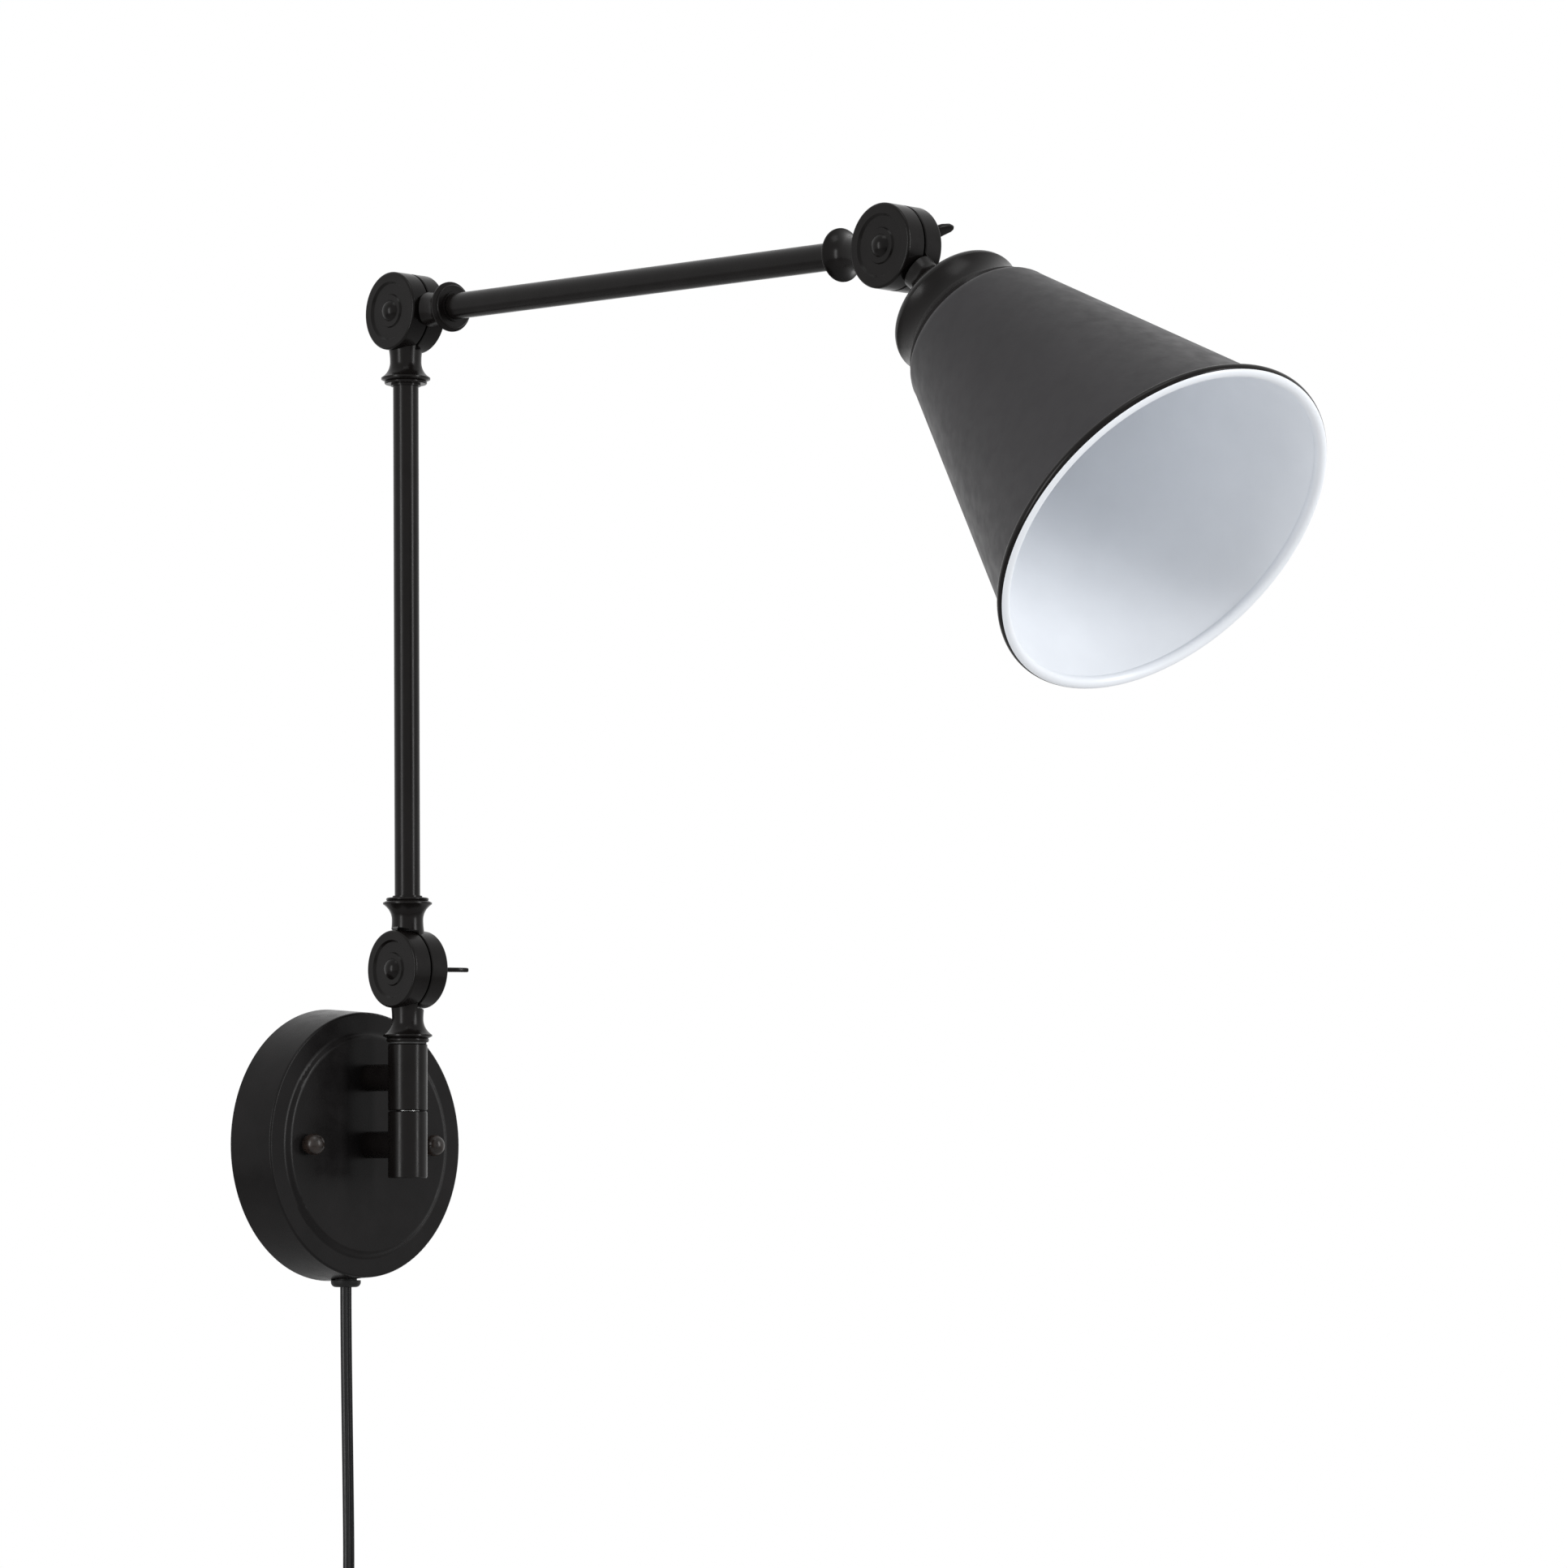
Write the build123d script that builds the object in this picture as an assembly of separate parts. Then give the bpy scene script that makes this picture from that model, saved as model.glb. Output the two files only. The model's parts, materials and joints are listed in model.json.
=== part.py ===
from build123d import *
import math
import os

# An articulating wall lamp. A round canopy on the wall carries two stacked collars on posts. A hub
# swivels in the collars, and two arms and a cone shade follow on three knuckles, each closed by a
# bolt and a wing nut. A twin cord with an in-line switch and a plug leaves the canopy's underside.
# Millimetres. The wall is the plane Y = 0, the lamp stands out along -Y, +Z is up, and the origin
# is the middle of the canopy's back.

# How the lamp stands, in degrees.
SWIVEL_YAW = -6.4
LOWER_LEAN = -0.3
UPPER_DROOP = 1.9
HEAD_TILT = 49.6

# Clearances.
RUNNING = 0.05
SEATED = 0.02
SLIDE_GAP = 0.06
DRILLED = 0.3

# How far a cutting piece passes the faces that it cuts.
CUT_PAST = 1.0

# Canopy: a spun steel cup with a raised middle.
CANOPY_BACK_R = 60.0
CANOPY_FRONT_R = 58.3
CANOPY_BAND = 23.0
CANOPY_EDGE = 1.0
CANOPY_STEP = 1.6
STEP_FOOT_R = 50.4
STEP_TOP_R = 46.6
CANOPY_WALL = 1.2

# Wall bar inside the canopy.
BAR_LENGTH = 92.0
BAR_WIDTH = 18.0
BAR_THICK = 1.8
BAR_LIFT = 3.6
BAR_FLAT_HALF = 29.0
BAR_BEND = 4.0
SLOT_SPACING = 44.0
SLOT_LENGTH = 12.0
SLOT_R = 2.4
CENTRE_HOLE_R = 4.0
GROUND_SCREW_ACROSS = 11.0
GROUND_SCREW_R = 1.9
GROUND_HEAD_R = 3.6
GROUND_HEAD_THICK = 1.8
DRIVER_SLOT = 0.8
DRIVER_SLOT_DEPTH = 0.7

# Canopy studs and their ball cap nuts.
STUD_SPACING = 74.0
STUD_R = 2.0
STUD_HEAD_R = 3.8
STUD_HEAD_THICK = 1.8
STUD_IN_NUT = 4.6
BALL_R = 4.7
BALL_CENTRE = 3.5
BALL_FOOT_R = 3.9

# Posts, collars and the swivel.
SWIVEL_OUT = 48.4
POST_R = 5.9
POST_SPACING = 29.4
TENON_R = 4.0
TENON_LENGTH = 9.0
POST_WASHER_R = 8.0
POST_WASHER_THICK = 1.0
POST_NUT_FLATS = 13.0
POST_NUT_THICK = 5.0
COLLAR_R = 8.6
COLLAR_SEAM = 0.3
COLLAR_EDGE = 0.45
SPINDLE_R = 5.0
SPINDLE_BORE_R = 3.0
SPINDLE_IN_HUB = 12.0
COUNTERBORE_R = 7.2
COUNTERBORE_DEPTH = 7.0
SPINDLE_THREAD_OUT = 1.0
SPINDLE_NUT_FLATS = 12.0
SPINDLE_NUT_THICK = 4.0
THRUST_WASHER_R = 8.2
THRUST_WASHER = 0.6
LOWER_WASHER_R = 6.8

# Knuckles: two half drums on a bolt, with a neck on each.
BASE_JOINT_UP = 76.4
DRUM_R = 16.9
DRUM_WIDTH = 18.6
DRUM_EDGE = 1.1
DRUM_SPLIT = 0.8
DISH_R = 12.7
DISH_DEPTH = 0.9
DISH_SLOPE = 0.9
BOSS_R = 6.9
BOSS_DROP = 0.25
BOLT_R = 2.5
BOLT_HEAD_R = 4.7
BOLT_DOME = 2.7
BOLT_THREAD_OUT = 1.4
WASHER_R = 13.0
NECK_GAP = 1.5
NECK_START = 9.0
NECK_ROOT_R = 7.5
NECK_WAIST_R = 6.85
NECK_WAIST_BACK = 7.4
NECK_ROOT_BACK = 13.6
NECK_FLARE_AT = 0.42
NECK_FLARE_OUT = 0.14
LIP_R = 10.7
LIP_REACH = 28.8
LONG_LIP_REACH = 31.4
LIP_THICK = 0.7
LIP_SLOPE = 0.5
BEAD_R = 9.3
BEAD_FOOT_R = 9.0
BEAD_END_R = 8.9
BEAD_END = 2.4
RING_R = 6.5
RING_HEIGHT = 0.9
PLAIN_END = 2.9
TUBE_SOCKET = 8.5

# Wing nuts, each at its own turn about its bolt, in degrees above straight out.
WING_SPAN = 28.0
WING_HEIGHT = 14.6
WING_THICK = 2.1
WING_FOOT = 0.6
WING_BELLY_IN = 2.2
WING_BELLY_UP = 4.4
WING_TIP = 3.2
WING_TIP_DROP = 2.2
WING_SADDLE = (6.0, 8.0)
WING_HUB_R = 4.6
WING_HUB_TOP_R = 3.8
WING_HUB_HEIGHT = 5.6
BASE_WING_TURN = 0.0
ELBOW_WING_TURN = -4.0
HEAD_WING_TURN = 50.0

# Arms.
LOWER_ARM = 286.6
UPPER_ARM = 310.0
TUBE_R = 5.58
TUBE_WALL = 1.2

# Socket cup, measured along the shade's axis from the head's hinge.
CUP_TOP_R = 11.0
CUP_WALL = 1.0
CUP_CROWN_R = 16.6
CUP_CROWN_AT = 37.4
CUP_STEP_R = 24.4
CUP_STEP_AT = 40.9
CUP_R = 28.0
CUP_SHOULDER_AT = 45.8
CUP_WAIST_R = 27.2
CUP_WAIST_AT = 51.0
CUP_SKIRT_AT = 56.0
CUP_RIM_R = 31.5
CUP_RIM_AT = 61.2
CUP_END = 63.2
CUP_BROW = (14.2, 2.3)
CUP_COVE = (19.2, 2.2)
CUP_NOSE = (1.4, 0.5)
CUP_SHOULDER = (1.3, 1.6)
CUP_SKIRT_OUT = 0.4
CUP_FLARE = (1.9, 2.7)
NIPPLE_R = 4.8
NIPPLE_BORE_R = 3.2
NIPPLE_IN_NECK = 8.0
NIPPLE_IN_HOLDER = 5.0
LOCKNUT_FLATS = 14.0
LOCKNUT_THICK = 3.0

# Lampholder for a 26 mm screw base.
HOLDER_TOP = 40.0
HOLDER_CAP_R = 11.0
HOLDER_BODY_R = 16.8
HOLDER_SKIRT_R = 19.8
HOLDER_CAP_SLOPE = 4.0
HOLDER_FLOOR = 62.0
HOLDER_SKIRT_UP = 2.0
HOLDER_SKIRT_SLOPE = 3.0
HOLDER_END = 88.0
HOLDER_BORE_R = 14.5
HOLDER_WELL_R = 11.0
SHELL_R = 13.2
SHELL_WALL = 0.7
SHELL_LIP_R = 9.0
SHELL_FOOT = 68.0
SHELL_END = 86.0
CONTACT_RISE = 4.5
CONTACT_WIDTH = 6.0
CONTACT_THICK = 0.6
CONTACT_FOOT = -1.5
CONTACT_CREST = 2.5
CONTACT_TAIL_RISE = 2.5
SHADE_RING_R = 26.5
SHADE_RING_THICK = 4.0
SHADE_RING_NOTCHES = 12
NOTCH_R = 1.3

# Shade: a spun cone with a rolled rim.
SHADE_WALL = 0.9
SHADE_SHOULDER_R = 34.4
SHADE_SHOULDER_AT = 67.4
SHADE_MOUTH_R = 70.0
SHADE_MOUTH_AT = 189.4
SHADE_BULGE = 0.6
RIM_R = 2.9
RIM_OUT = 2.4
RIM_DOWN = 1.2

# Cord, in-line switch and plug.
CORD_R = 2.8
CORD_ARC_SHARE = 0.45
CORD_OUT = 10.0
CORD_LEAN = 1.8
CORD_BEND_TOP = -82.0
CORD_BEND_FOOT = -168.0
BUSHING_R = 6.6
BUSHING_HEAD = 3.0
BUSHING_DOME = 2.2
BUSHING_COLLAR = 4.0
BUSHING_BARREL_R = 4.9
BUSHING_END_R = 4.0
BUSHING_INSIDE = 17.0
BUSHING_SEAT = 0.4
CORD_SOCKET = 4.0
SWITCH_TOP = -190.0
SWITCH_LENGTH = 48.0
SWITCH_WIDTH = 24.0
SWITCH_DEPTH = 16.0
SWITCH_WALL = 1.8
SWITCH_ROUND = 3.0
SWITCH_END_BLOCK = 9.0
SWITCH_CORNER = 8.0
SWITCH_SCREW_R = 1.2
SWITCH_SCREW_HEAD_R = 2.3
SWITCH_SCREW_HEAD = 1.4
SWITCH_SCREW_SUNK = 2.6
SWITCH_SCREW_LENGTH = 9.0
SWITCH_SCREW_OFF = 17.4
ROCKER_LENGTH = 15.0
ROCKER_WIDTH = 9.0
ROCKER_WELL = 6.0
ROCKER_LUG_WIDTH = 3.0
ROCKER_LUG_DEPTH = 4.0
ROCKER_LUG_HEIGHT = 6.0
ROCKER_PIN = 2.4
ROCKER_PIVOT_R = 1.2
ROCKER_PIVOT_DEPTH = 3.6
ROCKER_BACK = 5.2
ROCKER_HEEL = 3.0
ROCKER_HOLLOW = 0.2
ROCKER_SIDE_IN = 0.4
ROCKER_SIDE_DOWN = 1.4
ROCKER_PROUD = 1.9
ROCKER_TILT = 9.0
ROCKER_GAP = 0.5
COIL_R = 29.0
COIL_LAYERS = 3
COIL_COLUMNS = 3
LAYER_PITCH = 3.0
COLUMN_PITCH = 5.8
COIL_LEAD = 26.0
TIE_THICK = 1.2
TIE_ARC = 16.0
PLUG_STEM = 20.0
PLUG_STEM_R = 4.6
PLUG_STEM_TOP_R = 3.6
PLUG_LENGTH = 24.0
PLUG_WIDTH = 24.0
PLUG_DEPTH = 14.0
PLUG_SHOULDER_WIDTH = 15.0
PLUG_ROUND = 2.5
PLUG_WAIST = 0.45
PLUG_STEM_SUNK = 2.0
BLADE_SPACING = 12.7
BLADE_WIDTH = 6.35
BLADE_THICK = 1.5
BLADE_LENGTH = 16.0
BLADE_IN_PLUG = 8.0
BLADE_CORNER = 0.4

# Worked out from the sizes above.
CANOPY_DEPTH = CANOPY_BAND + CANOPY_STEP
HANG_OUT = CORD_OUT + CORD_LEAN
BUSHING_WALL = -(CANOPY_BACK_R + CANOPY_FRONT_R) / 2 - BUSHING_SEAT
BUSHING_TIP = BUSHING_WALL - BUSHING_HEAD
COLLAR_HEIGHT = POST_SPACING - COLLAR_SEAM
HUB_NECK_END = LIP_REACH + PLAIN_END
RING_END = BEAD_END + RING_HEIGHT
CUP_TOP = LIP_REACH + PLAIN_END + SEATED
SWITCH_BOTTOM = SWITCH_TOP - SWITCH_LENGTH
COIL_CORNER = SWITCH_BOTTOM + CORD_SOCKET - COIL_LEAD
COIL_CENTRE = COIL_CORNER - COIL_R * math.sqrt(2)
TAIL_CORNER = COIL_CENTRE - COIL_R * math.sqrt(2)
PLUG_TOP = TAIL_CORNER - COIL_LEAD + CORD_SOCKET
PLUG_FACE = PLUG_TOP - PLUG_STEM - PLUG_LENGTH
COIL_HALF_THICK = COIL_COLUMNS * COLUMN_PITCH / 2
COIL_HALF_HEIGHT = COIL_LAYERS * LAYER_PITCH / 2

# Where each moving group's own frame stands. The hinge of a knuckle is the frame's X axis.
SWIVEL = Pos(0, -SWIVEL_OUT, 0) * Rot(0, 0, SWIVEL_YAW)
BASE_JOINT = SWIVEL * Pos(0, 0, BASE_JOINT_UP)
LOWER = BASE_JOINT * Rot(LOWER_LEAN, 0, 0)
ELBOW = LOWER * Pos(0, 0, LOWER_ARM)
UPPER = ELBOW * Rot(UPPER_DROOP - LOWER_LEAN, 0, 0)
HEAD_JOINT = UPPER * Pos(0, -UPPER_ARM, 0)
HEAD = HEAD_JOINT * Rot(180 - HEAD_TILT - UPPER_DROOP, 0, 0)

# Turns that point a piece made along +Z another way.
OUT_OF_WALL = Rot(90, 0, 0)
INTO_WALL = Rot(-90, 0, 0)
DOWNWARDS = Rot(180, 0, 0)


def save(piece, node):
    """Write one node's STEP file."""
    export_step(piece, f"parts/{node}.step")


def turned(*edges):
    """A turned solid: a closed outline of (radius, height) edges revolved about Z."""
    return revolve(Plane.XZ * make_face(list(edges)), Axis.Z)


def outline(*points):
    """Straight edges through the points."""
    return [Line(a, b) for a, b in zip(points, points[1:])]


def rod(radius, low, high):
    """A plain cylinder about Z between two heights."""
    return Pos(0, 0, (low + high) / 2) * Cylinder(radius, high - low)


def ring(outer, inner, low, high):
    """A washer or sleeve about Z between two heights."""
    return rod(outer, low, high) - rod(inner, low - CUT_PAST, high + CUT_PAST)


def hexagon(flats, low, high, bore):
    """A hexagon nut about Z between two heights."""
    blank = extrude(RegularPolygon(flats / math.sqrt(3), 6), high - low)
    return Pos(0, 0, low) * blank - rod(bore, low - CUT_PAST, high + CUT_PAST)


# ---------------------------------------------------------------- canopy and what it hides


def canopy():
    """The spun cup against the wall, with holes for the posts, the studs and the cord."""
    edge_in = CANOPY_FRONT_R - CANOPY_EDGE
    step_mid_r = (STEP_FOOT_R + STEP_TOP_R) / 2
    step_mid = CANOPY_BAND + CANOPY_STEP / 2
    blank = turned(
        Line((0, 0), (CANOPY_BACK_R, 0)),
        Line((CANOPY_BACK_R, 0), (CANOPY_FRONT_R, CANOPY_BAND - CANOPY_EDGE)),
        RadiusArc(
            (CANOPY_FRONT_R, CANOPY_BAND - CANOPY_EDGE), (edge_in, CANOPY_BAND), -CANOPY_EDGE
        ),
        Line((edge_in, CANOPY_BAND), (STEP_FOOT_R, CANOPY_BAND)),
        TangentArc((STEP_FOOT_R, CANOPY_BAND), (step_mid_r, step_mid), tangent=(-1, 0)),
        TangentArc(
            (STEP_TOP_R, CANOPY_DEPTH), (step_mid_r, step_mid), tangent=(1, 0)
        ),
        Line((STEP_TOP_R, CANOPY_DEPTH), (0, CANOPY_DEPTH)),
        Line((0, CANOPY_DEPTH), (0, 0)),
    )
    shell = offset(blank, amount=-CANOPY_WALL, openings=blank.faces().sort_by(Axis.Z)[0])
    shell = OUT_OF_WALL * shell
    back = CANOPY_DEPTH - CANOPY_WALL - CUT_PAST
    tenon_hole = OUT_OF_WALL * rod(TENON_R + DRILLED, back, CANOPY_DEPTH + CUT_PAST)
    stud_hole = OUT_OF_WALL * rod(STUD_R + DRILLED, back, CANOPY_DEPTH + CUT_PAST)
    for height in (0, POST_SPACING):
        shell -= Pos(0, 0, height) * tenon_hole
    for side in (-1, 1):
        shell -= Pos(side * STUD_SPACING / 2, 0, 0) * stud_hole
    low = BUSHING_WALL - CANOPY_WALL
    high = low + CANOPY_BACK_R / 2
    return shell - Pos(0, -CORD_OUT, 0) * rod(BUSHING_BARREL_R + SEATED, low, high)


def wall_crossbar():
    """The strap screwed to the wall: a flat middle with slots, and raised ends for the studs."""
    ramp = BAR_FLAT_HALF + BAR_BEND
    half = BAR_LENGTH / 2
    top = BAR_LIFT + BAR_THICK
    right_side = [
        (BAR_FLAT_HALF, 0),
        (ramp, BAR_LIFT),
        (half, BAR_LIFT),
        (half, top),
        (ramp - BAR_THICK / 2, top),
        (BAR_FLAT_HALF - BAR_THICK / 2, BAR_THICK),
    ]
    left_side = [(-x, y) for x, y in reversed(right_side)]
    section = make_face(Polyline(right_side + left_side, close=True))
    bar = Rot(180, 0, 0) * Pos(0, 0, -BAR_WIDTH / 2) * extrude(section, BAR_WIDTH)
    slot = extrude(SlotOverall(SLOT_LENGTH, 2 * SLOT_R), top + CUT_PAST, both=True)
    for side in (-1, 1):
        bar -= Pos(side * SLOT_SPACING / 2, 0, 0) * OUT_OF_WALL * slot
    holes = (
        (-STUD_SPACING / 2, STUD_R + SEATED),
        (STUD_SPACING / 2, STUD_R + SEATED),
        (0, CENTRE_HOLE_R),
        (GROUND_SCREW_ACROSS, GROUND_SCREW_R + SEATED),
    )
    for across, radius in holes:
        bar -= Pos(across, 0, 0) * OUT_OF_WALL * rod(radius, -CUT_PAST, top + CUT_PAST)
    return bar


def ground_screw():
    """The pan-head earthing screw in the wall bar."""
    top = BAR_THICK + GROUND_HEAD_THICK
    shank = rod(GROUND_SCREW_R, SEATED, BAR_THICK)
    head = rod(GROUND_HEAD_R, BAR_THICK, top)
    slot = Pos(0, 0, top) * Box(2 * GROUND_HEAD_R, DRIVER_SLOT, 2 * DRIVER_SLOT_DEPTH)
    return Pos(GROUND_SCREW_ACROSS, 0, 0) * OUT_OF_WALL * (shank + head - slot)


def canopy_studs():
    """The two screws that stand out of the wall bar and carry the canopy."""
    head = rod(STUD_HEAD_R, BAR_LIFT - STUD_HEAD_THICK, BAR_LIFT)
    stud = head + rod(STUD_R, BAR_LIFT, CANOPY_DEPTH + STUD_IN_NUT)
    return [Pos(s * STUD_SPACING / 2, 0, 0) * OUT_OF_WALL * stud for s in (-1, 1)]


def cap_nuts():
    """The two ball cap nuts on the canopy's face."""
    ball = Pos(0, 0, BALL_CENTRE) * Sphere(BALL_R)
    nut = ball + rod(BALL_FOOT_R, 0, BALL_CENTRE)
    nut -= rod(2 * BALL_R, -2 * BALL_R, 0)
    nut -= rod(STUD_R + RUNNING, -CUT_PAST, STUD_IN_NUT + DRILLED)
    return [
        Pos(s * STUD_SPACING / 2, -CANOPY_DEPTH, 0) * OUT_OF_WALL * nut for s in (-1, 1)
    ]


def post(height):
    """A post from the canopy's face to its collar, coped to the collar, with a tenon behind."""
    body = rod(POST_R, CANOPY_DEPTH, SWIVEL_OUT)
    tenon = rod(TENON_R, CANOPY_DEPTH - TENON_LENGTH, CANOPY_DEPTH)
    whole = Pos(0, 0, height) * OUT_OF_WALL * (body + tenon)
    collars = rod(COLLAR_R + SEATED, -COLLAR_HEIGHT, POST_SPACING + COLLAR_HEIGHT)
    return whole - Pos(0, -SWIVEL_OUT, 0) * collars


def post_washers():
    """The washers behind the canopy's face, one on each tenon."""
    back = CANOPY_DEPTH - CANOPY_WALL
    washer = ring(POST_WASHER_R, TENON_R + SEATED, back - POST_WASHER_THICK, back)
    return [Pos(0, 0, h) * OUT_OF_WALL * washer for h in (0, POST_SPACING)]


def post_nuts():
    """The hexagon nuts that draw the posts against the canopy."""
    back = CANOPY_DEPTH - CANOPY_WALL - POST_WASHER_THICK
    nut = hexagon(POST_NUT_FLATS, back - POST_NUT_THICK, back, TENON_R + SEATED)
    return [Pos(0, 0, h) * OUT_OF_WALL * nut for h in (0, POST_SPACING)]


def collar(height, counterbored):
    """A collar about the swivel axis. The lower one is counterbored for the spindle's nut."""
    low = height - COLLAR_HEIGHT / 2
    high = height + COLLAR_HEIGHT / 2
    body = chamfer(rod(COLLAR_R, low, high).edges().filter_by(GeomType.CIRCLE), COLLAR_EDGE)
    body -= rod(SPINDLE_R + RUNNING, low - CUT_PAST, high + CUT_PAST)
    if counterbored:
        body -= rod(COUNTERBORE_R, low - CUT_PAST, low + COUNTERBORE_DEPTH)
    return Pos(0, -SWIVEL_OUT, 0) * body


# ---------------------------------------------------------------- swivel hub


def swivel_spindle():
    """The hollow spindle screwed into the hub, turning in both collars."""
    shoulder = -COLLAR_HEIGHT / 2 + COUNTERBORE_DEPTH
    low = shoulder - THRUST_WASHER - SPINDLE_NUT_THICK - SPINDLE_THREAD_OUT
    high = BASE_JOINT_UP - HUB_NECK_END + SPINDLE_IN_HUB
    return SWIVEL * ring(SPINDLE_R, SPINDLE_BORE_R, low, high)


def swivel_washers():
    """The thrust washers above the upper collar and in the lower collar's counterbore."""
    collar_top = POST_SPACING + COLLAR_HEIGHT / 2
    shoulder = -COLLAR_HEIGHT / 2 + COUNTERBORE_DEPTH
    bore = SPINDLE_R + SEATED
    hub_face = BASE_JOINT_UP - HUB_NECK_END
    upper = ring(THRUST_WASHER_R, bore, collar_top + SLIDE_GAP, hub_face)
    lower = ring(LOWER_WASHER_R, bore, shoulder - THRUST_WASHER, shoulder - SLIDE_GAP)
    return [SWIVEL * upper, SWIVEL * lower]


def spindle_nut():
    """The nut that holds the spindle up in the lower collar."""
    shoulder = -COLLAR_HEIGHT / 2 + COUNTERBORE_DEPTH
    high = shoulder - THRUST_WASHER
    return SWIVEL * hexagon(SPINDLE_NUT_FLATS, high - SPINDLE_NUT_THICK, high, SPINDLE_R + SEATED)


# ---------------------------------------------------------------- knuckles


def half_drum():
    """Half of a knuckle's drum about Z, from the split up to its dished outer face."""
    face = DRUM_WIDTH / 2
    floor = face - DISH_DEPTH
    boss = face - BOSS_DROP
    low = DRUM_SPLIT / 2
    bore = BOLT_R + RUNNING
    return turned(
        *outline((bore, low), (DRUM_R - DRUM_EDGE / 3, low), (DRUM_R, low + DRUM_EDGE / 3)),
        Line((DRUM_R, low + DRUM_EDGE / 3), (DRUM_R, face - DRUM_EDGE)),
        RadiusArc((DRUM_R, face - DRUM_EDGE), (DRUM_R - DRUM_EDGE, face), -DRUM_EDGE),
        *outline(
            (DRUM_R - DRUM_EDGE, face),
            (DISH_R, face),
            (DISH_R - DISH_SLOPE, floor),
            (BOSS_R + DISH_SLOPE / 2, floor),
            (BOSS_R, boss),
            (bore, boss),
            (bore, low),
        ),
    )


def neck(reach, ringed):
    """A turned neck along +Z from the hinge: a waist, a sharp lip and a bead, and a tube ring."""
    waist = reach - NECK_WAIST_BACK
    root = reach - NECK_ROOT_BACK
    flare = (
        NECK_WAIST_R + NECK_FLARE_OUT * (LIP_R - NECK_WAIST_R),
        waist + NECK_FLARE_AT * NECK_WAIST_BACK,
    )
    lip_low = (LIP_R, reach - LIP_THICK / 2)
    lip_high = (LIP_R, reach + LIP_THICK / 2)
    bead = reach + LIP_THICK + LIP_SLOPE
    end = reach + (BEAD_END if ringed else PLAIN_END)
    tip = [(RING_R, end), (RING_R, end + RING_HEIGHT)] if ringed else []
    last = end + RING_HEIGHT if ringed else end
    return turned(
        *outline((0, NECK_START), (NECK_ROOT_R, NECK_START), (NECK_ROOT_R, root)),
        TangentArc((NECK_WAIST_R, waist), (NECK_ROOT_R, root), tangent=(0, -1)),
        ThreePointArc((NECK_WAIST_R, waist), flare, lip_low),
        *outline(lip_low, lip_high, (BEAD_FOOT_R, bead)),
        ThreePointArc((BEAD_FOOT_R, bead), (BEAD_R, (bead + end) / 2), (BEAD_END_R, end)),
        *outline((BEAD_END_R, end), *tip, (0, last), (0, NECK_START)),
    )


def knuckle_half(side, reach, ringed, bore_r, bore_depth):
    """A knuckle casting: a half drum on one side of the hinge and a neck on its middle plane."""
    drum = Rot(0, 90 * side, 0) * half_drum()
    casting = drum + neck(reach, ringed)
    far = -side * DRUM_WIDTH
    clear = Rot(0, 90, 0) * rod(DRUM_R + NECK_GAP, min(far, 0), max(far, 0))
    casting -= Pos(side * DRUM_SPLIT / 2, 0, 0) * clear
    casting -= Rot(0, 90, 0) * rod(BOLT_R + RUNNING, -DRUM_WIDTH, DRUM_WIDTH)
    end = reach + (RING_END if ringed else PLAIN_END)
    return casting - rod(bore_r, end - bore_depth, end + CUT_PAST)


def knuckle_bolt(side=-1):
    """The dome-headed bolt through both halves, its head on the outer face of the near half."""
    seat = DRUM_WIDTH / 2 - BOSS_DROP
    end = seat + WING_HUB_HEIGHT + BOLT_THREAD_OUT
    dome_r = (BOLT_HEAD_R**2 + BOLT_DOME**2) / (2 * BOLT_DOME)
    dome = Pos(0, 0, seat + BOLT_DOME - dome_r) * Sphere(dome_r)
    dome -= rod(2 * dome_r, seat - 3 * dome_r, seat)
    shank = rod(BOLT_R, -end, seat)
    return Rot(0, 90 * side, 0) * (dome + shank)


def friction_washer():
    """The washer between a knuckle's two halves, on the near half."""
    return Rot(0, 90, 0) * ring(
        WASHER_R, BOLT_R + SEATED, -DRUM_SPLIT / 2, DRUM_SPLIT / 2 - SLIDE_GAP
    )


def wing_nut(turn):
    """A wing nut on the far face: a tapered hub with two leaf-shaped wings."""
    seat = DRUM_WIDTH / 2 - BOSS_DROP + SLIDE_GAP
    half = WING_SPAN / 2
    hub = turned(
        *outline(
            (0, 0),
            (WING_HUB_R, 0),
            (WING_HUB_TOP_R, WING_HUB_HEIGHT),
            (0, WING_HUB_HEIGHT),
            (0, 0),
        )
    )
    foot = (WING_HUB_R + WING_FOOT, WING_FOOT)
    belly = (half - WING_BELLY_IN, WING_BELLY_UP)
    side = (half, WING_HEIGHT - WING_TIP_DROP)
    crest = (half - WING_TIP, WING_HEIGHT)
    root = (BOLT_R / 2, WING_HUB_HEIGHT - WING_FOOT)
    leaf = make_face(
        [
            Line((BOLT_R / 2, WING_FOOT), foot),
            ThreePointArc(foot, belly, side),
            ThreePointArc(side, (half - WING_TIP / 3, WING_HEIGHT), crest),
            ThreePointArc(crest, WING_SADDLE, root),
            Line(root, (BOLT_R / 2, WING_FOOT)),
        ]
    )
    wing = extrude(Plane.XZ * leaf, WING_THICK / 2, both=True)
    nut = hub + wing + Rot(0, 0, 180) * wing
    nut -= rod(BOLT_R + RUNNING, -CUT_PAST, WING_HEIGHT)
    return Rot(180 - turn, 0, 0) * Rot(0, 90, 0) * Pos(0, 0, seat) * Rot(0, 0, 90) * nut


# ---------------------------------------------------------------- arms


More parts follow.
